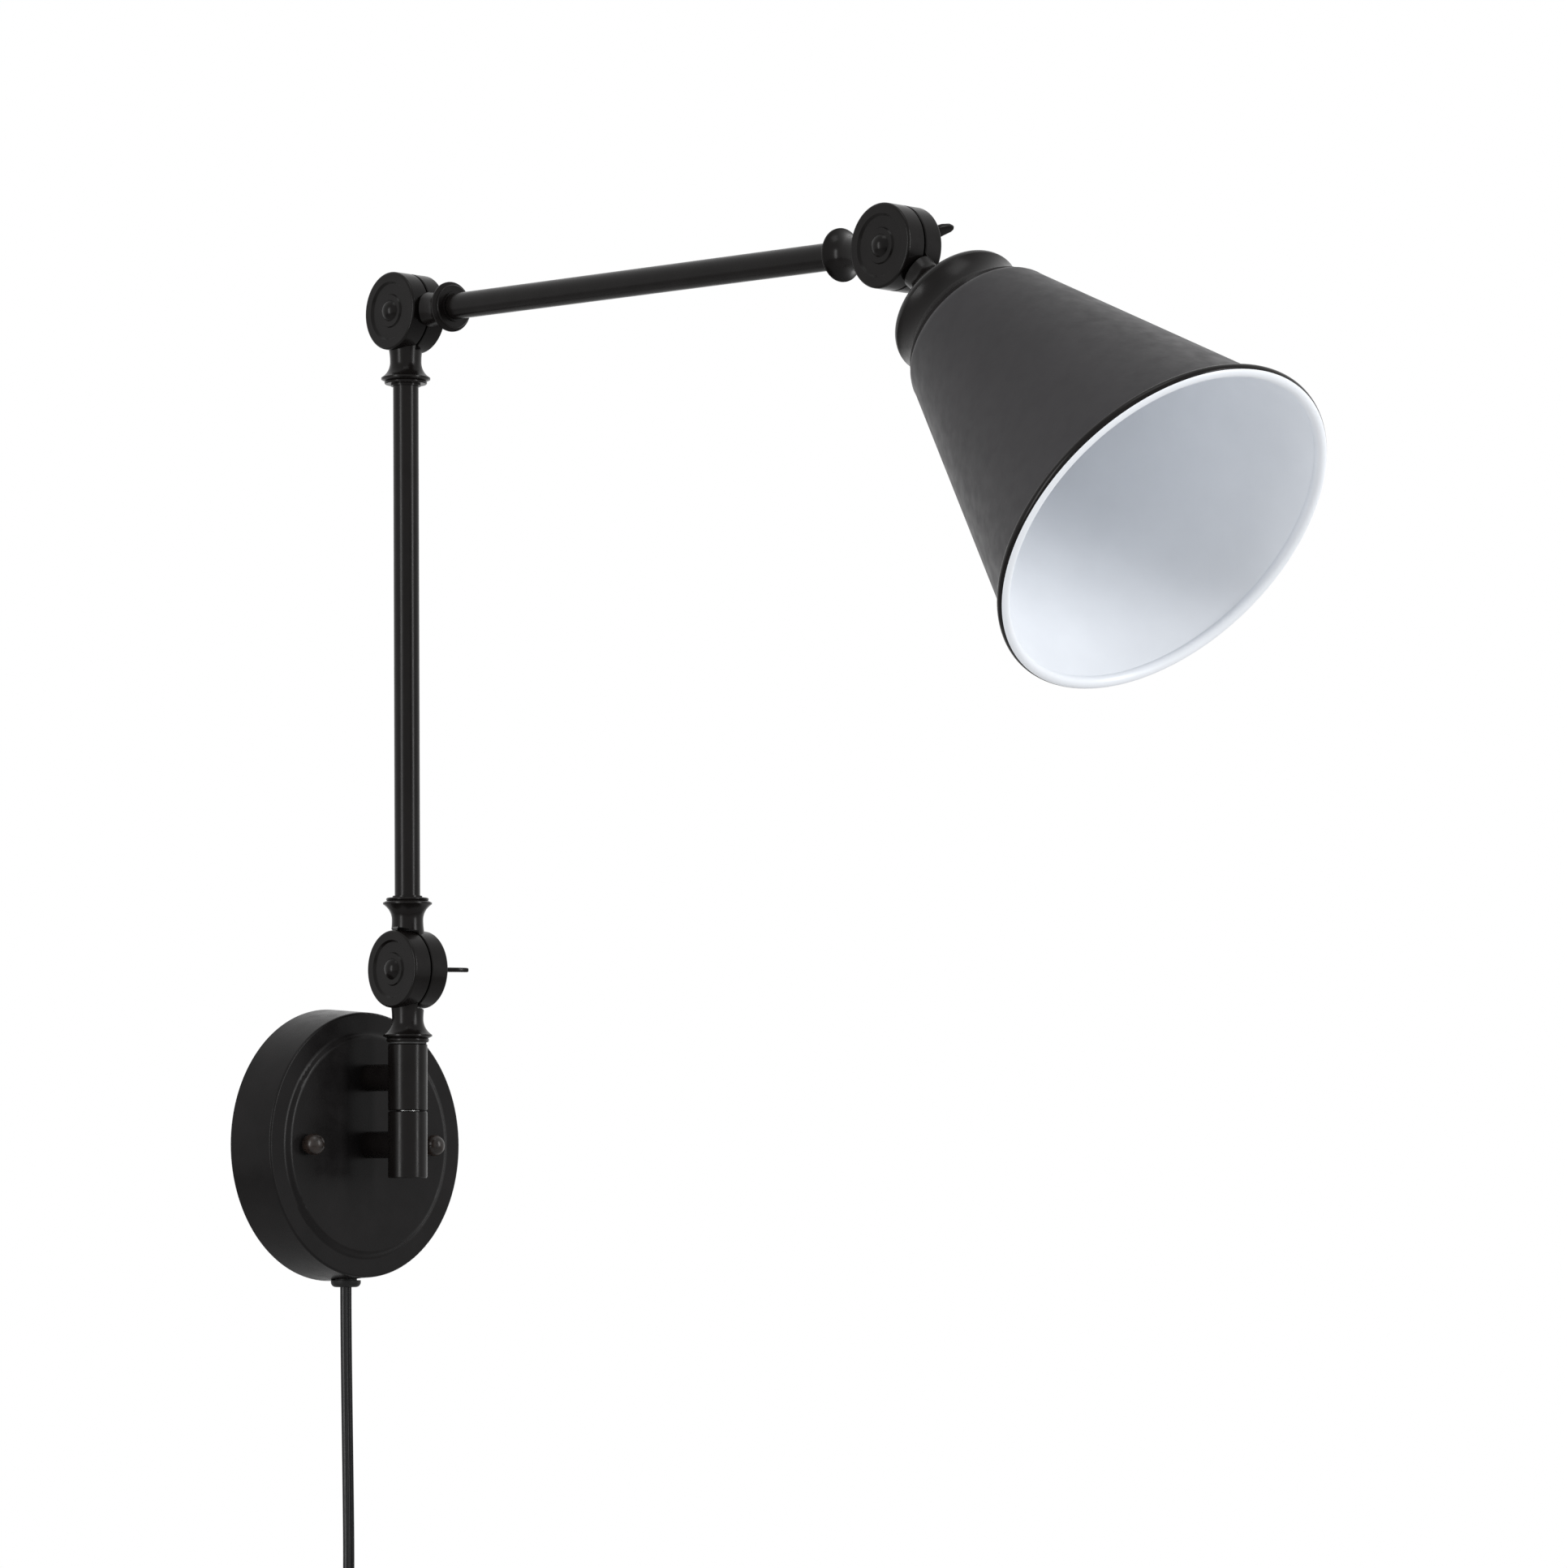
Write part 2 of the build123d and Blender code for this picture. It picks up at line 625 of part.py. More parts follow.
def arm_tube(length, low_reach, high_reach):
    """An arm tube along +Z between two hinges, each end seated in a neck's socket."""
    low = low_reach + RING_END - TUBE_SOCKET + SEATED
    high = length - (high_reach + RING_END - TUBE_SOCKET + SEATED)
    return ring(TUBE_R, TUBE_R - TUBE_WALL, low, high)


# ---------------------------------------------------------------- head


def socket_cup():
    """The spun cup under the head's neck, open towards the shade."""
    crown = (CUP_CROWN_R, CUP_CROWN_AT)
    nose = (CUP_STEP_R - CUP_NOSE[0], CUP_STEP_AT - CUP_NOSE[1])
    step = (CUP_STEP_R, CUP_STEP_AT)
    shoulder = (CUP_R, CUP_SHOULDER_AT)
    skirt = (CUP_WAIST_R + CUP_SKIRT_OUT, CUP_SKIRT_AT)
    rim = (CUP_RIM_R, CUP_RIM_AT)
    brow = (CUP_BROW[0], CUP_TOP + CUP_BROW[1])
    cove = (CUP_COVE[0], CUP_CROWN_AT + CUP_COVE[1])
    bulge = (CUP_R - CUP_SHOULDER[0], CUP_STEP_AT + CUP_SHOULDER[1])
    flare = (CUP_WAIST_R + CUP_FLARE[0], CUP_SKIRT_AT + CUP_FLARE[1])
    blank = turned(
        Line((0, CUP_TOP), (CUP_TOP_R, CUP_TOP)),
        ThreePointArc((CUP_TOP_R, CUP_TOP), brow, crown),
        ThreePointArc(crown, cove, nose),
        Line(nose, step),
        ThreePointArc(step, bulge, shoulder),
        ThreePointArc(shoulder, (CUP_WAIST_R, CUP_WAIST_AT), skirt),
        ThreePointArc(skirt, flare, rim),
        *outline(rim, (CUP_RIM_R, CUP_END), (0, CUP_END), (0, CUP_TOP)),
    )
    cup = offset(blank, amount=-CUP_WALL, openings=blank.faces().sort_by(Axis.Z)[-1])
    return cup - rod(NIPPLE_R + SEATED, CUP_TOP - CUT_PAST, CUP_TOP + CUP_WALL + CUT_PAST)


def socket_nipple():
    """The hollow threaded nipple from the head's neck to the lampholder."""
    low = CUP_TOP - NIPPLE_IN_NECK
    return ring(NIPPLE_R, NIPPLE_BORE_R, low, HOLDER_TOP + NIPPLE_IN_HOLDER)


def socket_locknut():
    """The thin nut that clamps the cup against the head's neck."""
    low = CUP_TOP + CUP_WALL
    return hexagon(LOCKNUT_FLATS, low, low + LOCKNUT_THICK, NIPPLE_R + SEATED)


def lampholder():
    """The moulded lampholder, threaded outside for the shade ring."""
    skirt = HOLDER_FLOOR - HOLDER_SKIRT_UP
    pocket = HOLDER_TOP + NIPPLE_IN_HOLDER + SEATED
    body = turned(
        *outline(
            (0, HOLDER_TOP),
            (HOLDER_CAP_R, HOLDER_TOP),
            (HOLDER_BODY_R, HOLDER_TOP + HOLDER_CAP_SLOPE),
            (HOLDER_BODY_R, skirt - HOLDER_SKIRT_SLOPE),
            (HOLDER_SKIRT_R, skirt),
            (HOLDER_SKIRT_R, HOLDER_END),
            (HOLDER_BORE_R, HOLDER_END),
            (HOLDER_BORE_R, SHELL_FOOT),
            (HOLDER_WELL_R, SHELL_FOOT),
            (HOLDER_WELL_R, HOLDER_FLOOR),
            (0, HOLDER_FLOOR),
            (0, HOLDER_TOP),
        )
    )
    return body - rod(NIPPLE_R + SEATED, HOLDER_TOP - CUT_PAST, pocket)


def screw_shell():
    """The brass screw shell on the lampholder's shoulder, turned in at its foot."""
    foot = SHELL_FOOT + SEATED
    tube = ring(SHELL_R + SHELL_WALL, SHELL_R, foot, SHELL_END)
    return tube + ring(SHELL_R + SHELL_WALL, SHELL_LIP_R, foot, foot + SHELL_WALL)


def centre_contact():
    """The spring tongue on the lampholder's floor."""
    floor = HOLDER_FLOOR + SEATED
    lower = [
        (-CONTACT_WIDTH, floor),
        (CONTACT_FOOT, floor),
        (CONTACT_CREST, floor + CONTACT_RISE),
        (CONTACT_WIDTH, floor + CONTACT_TAIL_RISE),
    ]
    upper = [(x, z + CONTACT_THICK) for x, z in reversed(lower)]
    strip = make_face(Polyline(lower + upper, close=True))
    return extrude(Plane.XZ * strip, CONTACT_WIDTH / 2, both=True)


def shade_ring():
    """The ring that screws up the lampholder and clamps the shade against the cup."""
    low = CUP_END + SEATED + SHADE_WALL
    high = low + SHADE_RING_THICK
    body = ring(SHADE_RING_R, HOLDER_SKIRT_R + RUNNING, low, high)
    notch = Pos(SHADE_RING_R, 0, 0) * rod(NOTCH_R, low - CUT_PAST, high + CUT_PAST)
    for i in range(SHADE_RING_NOTCHES):
        body -= Rot(0, 0, i * 360 / SHADE_RING_NOTCHES) * notch
    return body


def shade():
    """The spun cone: a flat top with a hole for the lampholder, a rounded shoulder, a rolled rim."""
    top = CUP_END + SEATED
    hole = HOLDER_SKIRT_R + DRILLED
    inner_top = top + SHADE_WALL
    shoulder = (SHADE_SHOULDER_R, SHADE_SHOULDER_AT)
    mouth = (SHADE_MOUTH_R, SHADE_MOUTH_AT)
    inner_shoulder = (SHADE_SHOULDER_R - SHADE_WALL, SHADE_SHOULDER_AT)
    inner_mouth = (SHADE_MOUTH_R - SHADE_WALL, SHADE_MOUTH_AT)
    inner_edge = CUP_RIM_R - SHADE_WALL / 3
    bend = (
        (CUP_RIM_R + SHADE_SHOULDER_R) / 2 + SHADE_BULGE,
        (top + SHADE_SHOULDER_AT) / 2 - SHADE_BULGE,
    )
    inner_bend = (bend[0] - SHADE_WALL * math.sqrt(0.5), bend[1] + SHADE_WALL * math.sqrt(0.5))
    cone = turned(
        Line((hole, top), (CUP_RIM_R, top)),
        ThreePointArc((CUP_RIM_R, top), bend, shoulder),
        *outline(shoulder, mouth, inner_mouth, inner_shoulder),
        ThreePointArc(inner_shoulder, inner_bend, (inner_edge, inner_top)),
        *outline((inner_edge, inner_top), (hole, inner_top), (hole, top)),
    )
    return cone + Pos(0, 0, SHADE_MOUTH_AT + RIM_DOWN) * Torus(SHADE_MOUTH_R + RIM_OUT, RIM_R)


# ---------------------------------------------------------------- cord and what is on it


def cord_bushing():
    """The snap-in strain relief in the canopy's underside: a domed button and a tapered barrel."""
    wall = BUSHING_WALL
    tip = BUSHING_TIP
    inside = wall + BUSHING_INSIDE
    body = turned(
        Line((0, tip), (BUSHING_R - BUSHING_DOME, tip)),
        RadiusArc((BUSHING_R - BUSHING_DOME, tip), (BUSHING_R, tip + BUSHING_DOME), -BUSHING_DOME),
        *outline(
            (BUSHING_R, tip + BUSHING_DOME),
            (BUSHING_R, wall),
            (BUSHING_BARREL_R, wall),
            (BUSHING_BARREL_R, wall + BUSHING_COLLAR),
            (BUSHING_END_R, inside),
            (0, inside),
            (0, tip),
        ),
    )
    canopy_side = OUT_OF_WALL * turned(
        *outline(
            (0, 0),
            (CANOPY_BACK_R + SEATED, 0),
            (CANOPY_FRONT_R + SEATED, CANOPY_BAND - CANOPY_EDGE),
            (0, CANOPY_BAND - CANOPY_EDGE),
            (0, 0),
        )
    )
    placed = Pos(0, -CORD_OUT, 0) * body
    barrel = Pos(0, -CORD_OUT, 0) * rod(BUSHING_BARREL_R, wall, inside + CUT_PAST)
    placed = (placed - canopy_side) + (placed & barrel)
    socket = rod(CORD_R + SEATED, tip - CUT_PAST, tip + CORD_SOCKET)
    return placed - Pos(0, -CORD_OUT, 0) * socket


def cord_tube(route):
    """A cord along straight runs joined by the largest arcs that the runs allow."""
    points = [Vector(*p) for p in route]
    runs = [b - a for a, b in zip(points, points[1:])]
    radii = []
    for first, second in zip(runs, runs[1:]):
        half_turn = math.radians(first.get_angle(second)) / 2
        shorter = min(first.length, second.length)
        radii.append(CORD_ARC_SHARE * shorter / math.tan(half_turn))
    path = FilletPolyline(*points, radius=radii)
    section = Plane(origin=path @ 0, z_dir=path % 0) * Circle(CORD_R)
    return sweep(section, path=path)


def coil_ring(inner, outer, half_thick, arc=360.0):
    """A ring of rectangular section about the coil's axis, whole or over an arc."""
    section = Pos((inner + outer) / 2, 0, 0) * Rectangle(outer - inner, 2 * half_thick)
    whole = revolve(Plane.XZ * section, Axis.Z, revolution_arc=arc)
    return Pos(0, -HANG_OUT, COIL_CENTRE) * OUT_OF_WALL * Rot(0, 0, -arc / 2) * whole


def cord_coil():
    """The outer shape of the tied coil that the put-away cord makes."""
    inner = COIL_R - COIL_HALF_HEIGHT
    return coil_ring(inner, COIL_R + COIL_HALF_HEIGHT, COIL_HALF_THICK)


def cord_tie():
    """The tie round the coil's bundle."""
    inner = COIL_R - COIL_HALF_HEIGHT
    outer = COIL_R + COIL_HALF_HEIGHT
    band = coil_ring(inner - TIE_THICK, outer + TIE_THICK, COIL_HALF_THICK + TIE_THICK, TIE_ARC)
    return band - coil_ring(inner - SEATED, outer + SEATED, COIL_HALF_THICK + SEATED)


def power_cord():
    """From the bushing down to the switch, leaning a little away from the wall."""
    return cord_tube(
        [
            (0, -CORD_OUT, BUSHING_TIP + CORD_SOCKET),
            (0, -CORD_OUT, CORD_BEND_TOP),
            (0, -HANG_OUT, CORD_BEND_FOOT),
            (0, -HANG_OUT, SWITCH_TOP - CORD_SOCKET),
        ]
    )


def cord_to_coil():
    """From the switch down and off to the coil's upper left, which it joins as a tangent."""
    side = COIL_R / math.sqrt(2)
    start = SWITCH_BOTTOM + CORD_SOCKET
    tube = cord_tube(
        [
            (0, -HANG_OUT, start),
            (0, -HANG_OUT, COIL_CORNER),
            (-side, -HANG_OUT, COIL_CENTRE + side),
        ]
    )
    return tube - cord_coil()


def cord_to_plug():
    """From the coil's lower left back to the middle and down to the plug."""
    side = COIL_R / math.sqrt(2)
    end = PLUG_TOP - CORD_SOCKET
    tube = cord_tube(
        [
            (0, -HANG_OUT, end),
            (0, -HANG_OUT, TAIL_CORNER),
            (-side, -HANG_OUT, COIL_CENTRE - side),
        ]
    )
    return tube - cord_coil()


def switch_shell(front):
    """One half of the in-line switch: a rounded shell with solid ends that grip the cord."""
    middle = (SWITCH_TOP + SWITCH_BOTTOM) / 2
    half = SWITCH_DEPTH / 2
    block = Box(SWITCH_WIDTH, SWITCH_DEPTH, SWITCH_LENGTH)
    block = fillet(block.edges().filter_by(Axis.Y), SWITCH_CORNER)
    block = fillet(block.faces().sort_by(Axis.Y)[0].edges(), SWITCH_ROUND)
    block = fillet(block.faces().sort_by(Axis.Y)[-1].edges(), SWITCH_ROUND)
    room = Box(
        SWITCH_WIDTH - 2 * SWITCH_WALL,
        SWITCH_DEPTH - 2 * SWITCH_WALL,
        SWITCH_LENGTH - 2 * SWITCH_END_BLOCK,
    )
    block -= room
    socket = SWITCH_LENGTH / 2 - CORD_SOCKET - SEATED
    block -= rod(CORD_R + SEATED, socket, SWITCH_LENGTH)
    block -= rod(CORD_R + SEATED, -SWITCH_LENGTH, -socket)
    cut = Pos(0, half, 0) if front else Pos(0, -half, 0)
    block -= cut * Box(2 * SWITCH_WIDTH, SWITCH_DEPTH, 2 * SWITCH_LENGTH)
    for end in (-1, 1):
        screw = Pos(0, 0, end * SWITCH_SCREW_OFF) * INTO_WALL
        back = half - SWITCH_SCREW_SUNK
        block -= screw * rod(SWITCH_SCREW_R + SEATED, back - SWITCH_SCREW_LENGTH, back)
        well = rod(SWITCH_SCREW_HEAD_R + DRILLED, back - SWITCH_SCREW_HEAD, half + CUT_PAST)
        block -= screw * well
    if front:
        gap = ROCKER_WIDTH + 2 * ROCKER_GAP
        window = Box(gap, 2 * ROCKER_WELL, ROCKER_LENGTH + 2 * ROCKER_GAP)
        block -= Pos(0, -half, 0) * window
        lugs = Box(ROCKER_WIDTH + 2 * ROCKER_LUG_WIDTH, ROCKER_LUG_DEPTH, ROCKER_LUG_HEIGHT)
        lugs -= Box(gap, 2 * ROCKER_LUG_DEPTH, 2 * ROCKER_LUG_HEIGHT)
        block += Pos(0, -half + SWITCH_WALL + ROCKER_LUG_DEPTH / 2 - DRILLED, 0) * lugs
        reach = ROCKER_WIDTH / 2 + ROCKER_LUG_WIDTH + CUT_PAST
        pivot = Rot(0, 90, 0) * rod(ROCKER_PIVOT_R + RUNNING, -reach, reach)
        block -= Pos(0, -half + ROCKER_PIVOT_DEPTH, 0) * pivot
    return Pos(0, -HANG_OUT, middle) * block


def switch_screws():
    """The two pan-head screws sunk in the switch's back."""
    back = SWITCH_DEPTH / 2 - SWITCH_SCREW_SUNK
    shank = rod(SWITCH_SCREW_R, back - SWITCH_SCREW_LENGTH, back - SWITCH_SCREW_HEAD)
    head = rod(SWITCH_SCREW_HEAD_R, back - SWITCH_SCREW_HEAD, back)
    slot = Pos(0, 0, back) * Box(3 * SWITCH_SCREW_HEAD_R, DRIVER_SLOT, 2 * DRIVER_SLOT_DEPTH)
    screw = INTO_WALL * (shank + head - slot)
    middle = (SWITCH_TOP + SWITCH_BOTTOM) / 2
    return [Pos(0, -HANG_OUT, middle + e * SWITCH_SCREW_OFF) * screw for e in (-1, 1)]


def rocker():
    """The switch's rocker, rocked towards off, with a pivot pin on each side."""
    half = ROCKER_LENGTH / 2
    flank = half - ROCKER_SIDE_IN
    profile = make_face(
        [
            ThreePointArc((-half, -ROCKER_PROUD), (0, ROCKER_HOLLOW), (half, -ROCKER_PROUD)),
            *outline(
                (half, -ROCKER_PROUD),
                (flank, ROCKER_SIDE_DOWN),
                (ROCKER_HEEL, ROCKER_BACK),
                (-ROCKER_HEEL, ROCKER_BACK),
                (-flank, ROCKER_SIDE_DOWN),
                (-half, -ROCKER_PROUD),
            ),
        ]
    )
    body = Pos(0, -ROCKER_PIVOT_DEPTH, 0) * extrude(profile, ROCKER_WIDTH / 2, both=True)
    body &= rod(half + ROCKER_GAP / 2, -ROCKER_WIDTH, ROCKER_WIDTH)
    pins = rod(ROCKER_PIVOT_R, -ROCKER_WIDTH / 2 - ROCKER_PIN, ROCKER_WIDTH / 2 + ROCKER_PIN)
    return rocker_place() * Rot(0, 90, 0) * Rot(0, 0, ROCKER_TILT) * (body + pins)


def rocker_place():
    """The rocker's pivot."""
    middle = (SWITCH_TOP + SWITCH_BOTTOM) / 2
    return Pos(0, -HANG_OUT - SWITCH_DEPTH / 2 + ROCKER_PIVOT_DEPTH, middle)


def plug_body():
    """The moulded plug: a stem for the cord, sloping shoulders and a flat face for the blades."""
    low = PLUG_FACE
    high = PLUG_TOP - PLUG_STEM
    waist = low + PLUG_WAIST * PLUG_LENGTH
    stem_foot = high - PLUG_STEM_SUNK
    half = PLUG_WIDTH / 2
    top = PLUG_SHOULDER_WIDTH / 2
    shape = Polyline(
        [(-half, low), (half, low), (half, waist), (top, high), (-top, high), (-half, waist)],
        close=True,
    )
    body = extrude(Plane.XZ * make_face(shape), PLUG_DEPTH / 2, both=True)
    body = fillet(body.edges().filter_by(Axis.Y), PLUG_ROUND)
    body = fillet(body.faces().sort_by(Axis.Y)[0].edges(), PLUG_ROUND / 2)
    body = fillet(body.faces().sort_by(Axis.Y)[-1].edges(), PLUG_ROUND / 2)
    stem = turned(
        *outline(
            (0, stem_foot),
            (PLUG_STEM_R, stem_foot),
            (PLUG_STEM_TOP_R, PLUG_TOP),
            (0, PLUG_TOP),
            (0, stem_foot),
        )
    )
    body += stem
    body -= rod(CORD_R + SEATED, PLUG_TOP - CORD_SOCKET - SEATED, PLUG_TOP + CUT_PAST)
    for side in (-1, 1):
        pocket = Box(BLADE_THICK + 2 * SEATED, BLADE_WIDTH + 2 * SEATED, 2 * BLADE_IN_PLUG)
        body -= Pos(side * BLADE_SPACING / 2, 0, low - SEATED) * pocket
    return Pos(0, -HANG_OUT, 0) * body


def plug_blades():
    """The two flat blades, standing out of the plug's face."""
    length = BLADE_LENGTH + BLADE_IN_PLUG - 2 * SEATED
    blade = Box(BLADE_THICK, BLADE_WIDTH, length)
    tip = blade.faces().sort_by(Axis.Z)[0]
    blade = chamfer(tip.edges().filter_by(Axis.Y), BLADE_CORNER)
    middle = PLUG_FACE - BLADE_LENGTH + length / 2
    return [Pos(s * BLADE_SPACING / 2, -HANG_OUT, middle) * blade for s in (-1, 1)]


def arm_casting(place, turn, side, reach, ringed=True):
    """A knuckle casting of an arm, with its neck turned from +Z about the hinge."""
    half = knuckle_half(side, reach, ringed, TUBE_R + SEATED, TUBE_SOCKET)
    return place * Rot(turn, 0, 0) * half


def main():
    os.makedirs("parts", exist_ok=True)
    save(wall_crossbar(), "wall_crossbar")
    save(ground_screw(), "ground_screw")
    save(Compound(canopy_studs()), "canopy_studs")
    save(canopy(), "canopy")
    save(Compound(cap_nuts()), "cap_nuts")
    save(post(POST_SPACING), "upper_post")
    save(post(0), "lower_post")
    save(Compound(post_washers()), "post_washers")
    save(Compound(post_nuts()), "post_nuts")
    save(collar(POST_SPACING, False), "upper_collar")
    save(collar(0, True), "lower_collar")

    hub = knuckle_half(-1, LIP_REACH, False, SPINDLE_R + SEATED, SPINDLE_IN_HUB)
    save(BASE_JOINT * DOWNWARDS * hub, "swivel_hub")
    save(swivel_spindle(), "swivel_spindle")
    save(Compound(swivel_washers()), "swivel_washers")
    save(spindle_nut(), "spindle_nut")

    joints = (
        ("base", BASE_JOINT, BASE_WING_TURN),
        ("elbow", ELBOW, ELBOW_WING_TURN),
        ("head", HEAD_JOINT, HEAD_WING_TURN),
    )
    for name, place, wing_turn in joints:
        level = Location(place.position) * Rot(0, 0, SWIVEL_YAW)
        save(level * knuckle_bolt(), f"{name}_knuckle_bolt")
        save(level * friction_washer(), f"{name}_knuckle_washer")
        save(level * wing_nut(wing_turn), f"{name}_wing_nut")

    save(arm_casting(LOWER, 0, 1, LIP_REACH), "lower_arm_foot")
    lower_tube = arm_tube(LOWER_ARM, LIP_REACH, LIP_REACH)
    save(LOWER * lower_tube, "lower_arm_tube")
    save(arm_casting(ELBOW, 180, -1, LIP_REACH), "lower_arm_head")
    save(arm_casting(UPPER, 90, 1, LONG_LIP_REACH), "upper_arm_foot")
    upper_tube = arm_tube(UPPER_ARM, LONG_LIP_REACH, LONG_LIP_REACH)
    save(UPPER * OUT_OF_WALL * upper_tube, "upper_arm_tube")
    save(arm_casting(HEAD_JOINT, -90, -1, LONG_LIP_REACH), "upper_arm_head")

    head = knuckle_half(1, LIP_REACH, False, NIPPLE_R + SEATED, NIPPLE_IN_NECK)
    save(HEAD * head, "head_neck")
    save(HEAD * socket_cup(), "socket_cup")
    save(HEAD * socket_nipple(), "socket_nipple")
    save(HEAD * socket_locknut(), "socket_locknut")
    save(HEAD * lampholder(), "lampholder")
    save(HEAD * screw_shell(), "screw_shell")
    save(HEAD * centre_contact(), "centre_contact")
    save(HEAD * shade_ring(), "shade_ring")
    save(HEAD * shade(), "shade")

    save(cord_bushing(), "cord_bushing")
    save(power_cord(), "power_cord")
    save(switch_shell(True), "switch_front")
    save(switch_shell(False), "switch_back")
    save(Compound(switch_screws()), "switch_screws")
    save(rocker(), "switch_rocker")
    save(cord_to_coil(), "cord_to_coil")
    save(cord_coil(), "cord_coil")
    save(cord_tie(), "cord_tie")
    save(cord_to_plug(), "cord_to_plug")
    save(plug_body(), "plug_body")
    save(Compound(plug_blades()), "plug_blades")


main()
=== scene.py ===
import bpy
import bmesh
import json
from math import cos, pi, radians, sin
from mathutils import Matrix, Vector


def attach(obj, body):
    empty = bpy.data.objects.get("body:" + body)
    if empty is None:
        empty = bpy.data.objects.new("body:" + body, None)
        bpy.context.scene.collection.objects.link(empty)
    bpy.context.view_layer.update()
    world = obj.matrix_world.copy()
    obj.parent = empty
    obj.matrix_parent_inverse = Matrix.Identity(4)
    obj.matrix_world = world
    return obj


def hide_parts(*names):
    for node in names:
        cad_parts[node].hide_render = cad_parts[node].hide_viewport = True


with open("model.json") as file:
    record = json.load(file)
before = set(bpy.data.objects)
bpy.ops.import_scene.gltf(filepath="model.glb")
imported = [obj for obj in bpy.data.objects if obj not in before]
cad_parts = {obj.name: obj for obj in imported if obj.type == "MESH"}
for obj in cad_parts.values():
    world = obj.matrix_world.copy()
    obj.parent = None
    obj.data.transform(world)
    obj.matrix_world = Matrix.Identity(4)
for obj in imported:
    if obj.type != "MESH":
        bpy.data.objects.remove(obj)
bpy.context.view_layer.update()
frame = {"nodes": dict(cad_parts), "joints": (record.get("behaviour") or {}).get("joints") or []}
nodes = frame["nodes"]

# ---- Camera: level, about 2.5 m from the canopy and left of the lamp, so that the canopy and the
# shade's mouth are seen from the side. The horizon lies low in the picture.
CAMERA_PLACE = (-1.73484, -1.7771, -0.02242)
CAMERA_AZIMUTH = -48.94
CAMERA_REACH = 60
SENSOR_WIDTH_MM = 36.0
PICTURE_WIDTH_PX = 1931
FOCAL_LENGTH_PX = 6902.2
HORIZON_BELOW_MIDDLE_PX = 507.7

camera_data = bpy.data.cameras.new("camera")
camera_data.sensor_fit = "HORIZONTAL"
camera_data.sensor_width = SENSOR_WIDTH_MM
camera_data.lens = SENSOR_WIDTH_MM * FOCAL_LENGTH_PX / PICTURE_WIDTH_PX
camera_data.shift_y = HORIZON_BELOW_MIDDLE_PX / PICTURE_WIDTH_PX
camera_data.clip_end = CAMERA_REACH
camera = bpy.data.objects.new("camera", camera_data)
camera.location = CAMERA_PLACE
camera.rotation_euler = (radians(90), 0, radians(CAMERA_AZIMUTH))
bpy.context.collection.objects.link(camera)
bpy.context.scene.camera = camera
bpy.context.scene.view_settings.view_transform = "Standard"

# ---- Studio: a white room's even light, and three soft boxes. A tall one left of the lamp and a
# tall one in front on the right draw the two bright lines down each tube, and a weak one hangs
# over the canopy. The pale floor lies well below.
ROOM_LIGHT = 0.5
ROOM_SEEN = 1.0
FLOOR_DROP = 1.3
FLOOR_HALF = 4.0
FLOOR_COLOUR = (0.82, 0.82, 0.82, 1)
FLOOR_ROUGHNESS = 0.9
LAMP_MIDDLE = (-0.02, -0.2, 0.2)

world = bpy.data.worlds.new("room")
bpy.context.scene.world = world
world.use_nodes = True
room = world.node_tree
room.nodes.clear()
room_output = room.nodes.new("ShaderNodeOutputWorld")
room_glow = room.nodes.new("ShaderNodeBackground")
room_glow.inputs["Color"].default_value = (1, 1, 1, 1)
ray = room.nodes.new("ShaderNodeLightPath")
camera_or_glossy = room.nodes.new("ShaderNodeMath")
camera_or_glossy.operation = "MAXIMUM"
or_transmitted = room.nodes.new("ShaderNodeMath")
or_transmitted.operation = "MAXIMUM"
room_strength = room.nodes.new("ShaderNodeMapRange")
room_strength.inputs["To Min"].default_value = ROOM_LIGHT
room_strength.inputs["To Max"].default_value = ROOM_SEEN
room.links.new(ray.outputs["Is Camera Ray"], camera_or_glossy.inputs[0])
room.links.new(ray.outputs["Is Glossy Ray"], camera_or_glossy.inputs[1])
room.links.new(camera_or_glossy.outputs[0], or_transmitted.inputs[0])
room.links.new(ray.outputs["Is Transmission Ray"], or_transmitted.inputs[1])
room.links.new(or_transmitted.outputs[0], room_strength.inputs["Value"])
room.links.new(room_strength.outputs["Result"], room_glow.inputs["Strength"])
room.links.new(room_glow.outputs["Background"], room_output.inputs["Surface"])


def soft_box(name, place, width, height, watts):
    """An area lamp at a place, turned towards the middle of the wall lamp."""
    data = bpy.data.lights.new(name, "AREA")
    data.shape = "RECTANGLE"
    data.size = width
    data.size_y = height
    data.energy = watts
    lamp = bpy.data.objects.new(name, data)
    lamp.location = place
    direction = Vector(LAMP_MIDDLE) - Vector(place)
    lamp.rotation_euler = direction.to_track_quat("-Z", "Y").to_euler()
    bpy.context.collection.objects.link(lamp)


soft_box("left_box", place=(-2.25, 0.1, 0.3), width=0.5, height=1.8, watts=26)
soft_box("right_box", place=(0.55, -2.25, 0.65), width=0.35, height=1.6, watts=26)
soft_box("top_box", place=(-0.5, -0.7, 2.2), width=0.9, height=0.9, watts=6)

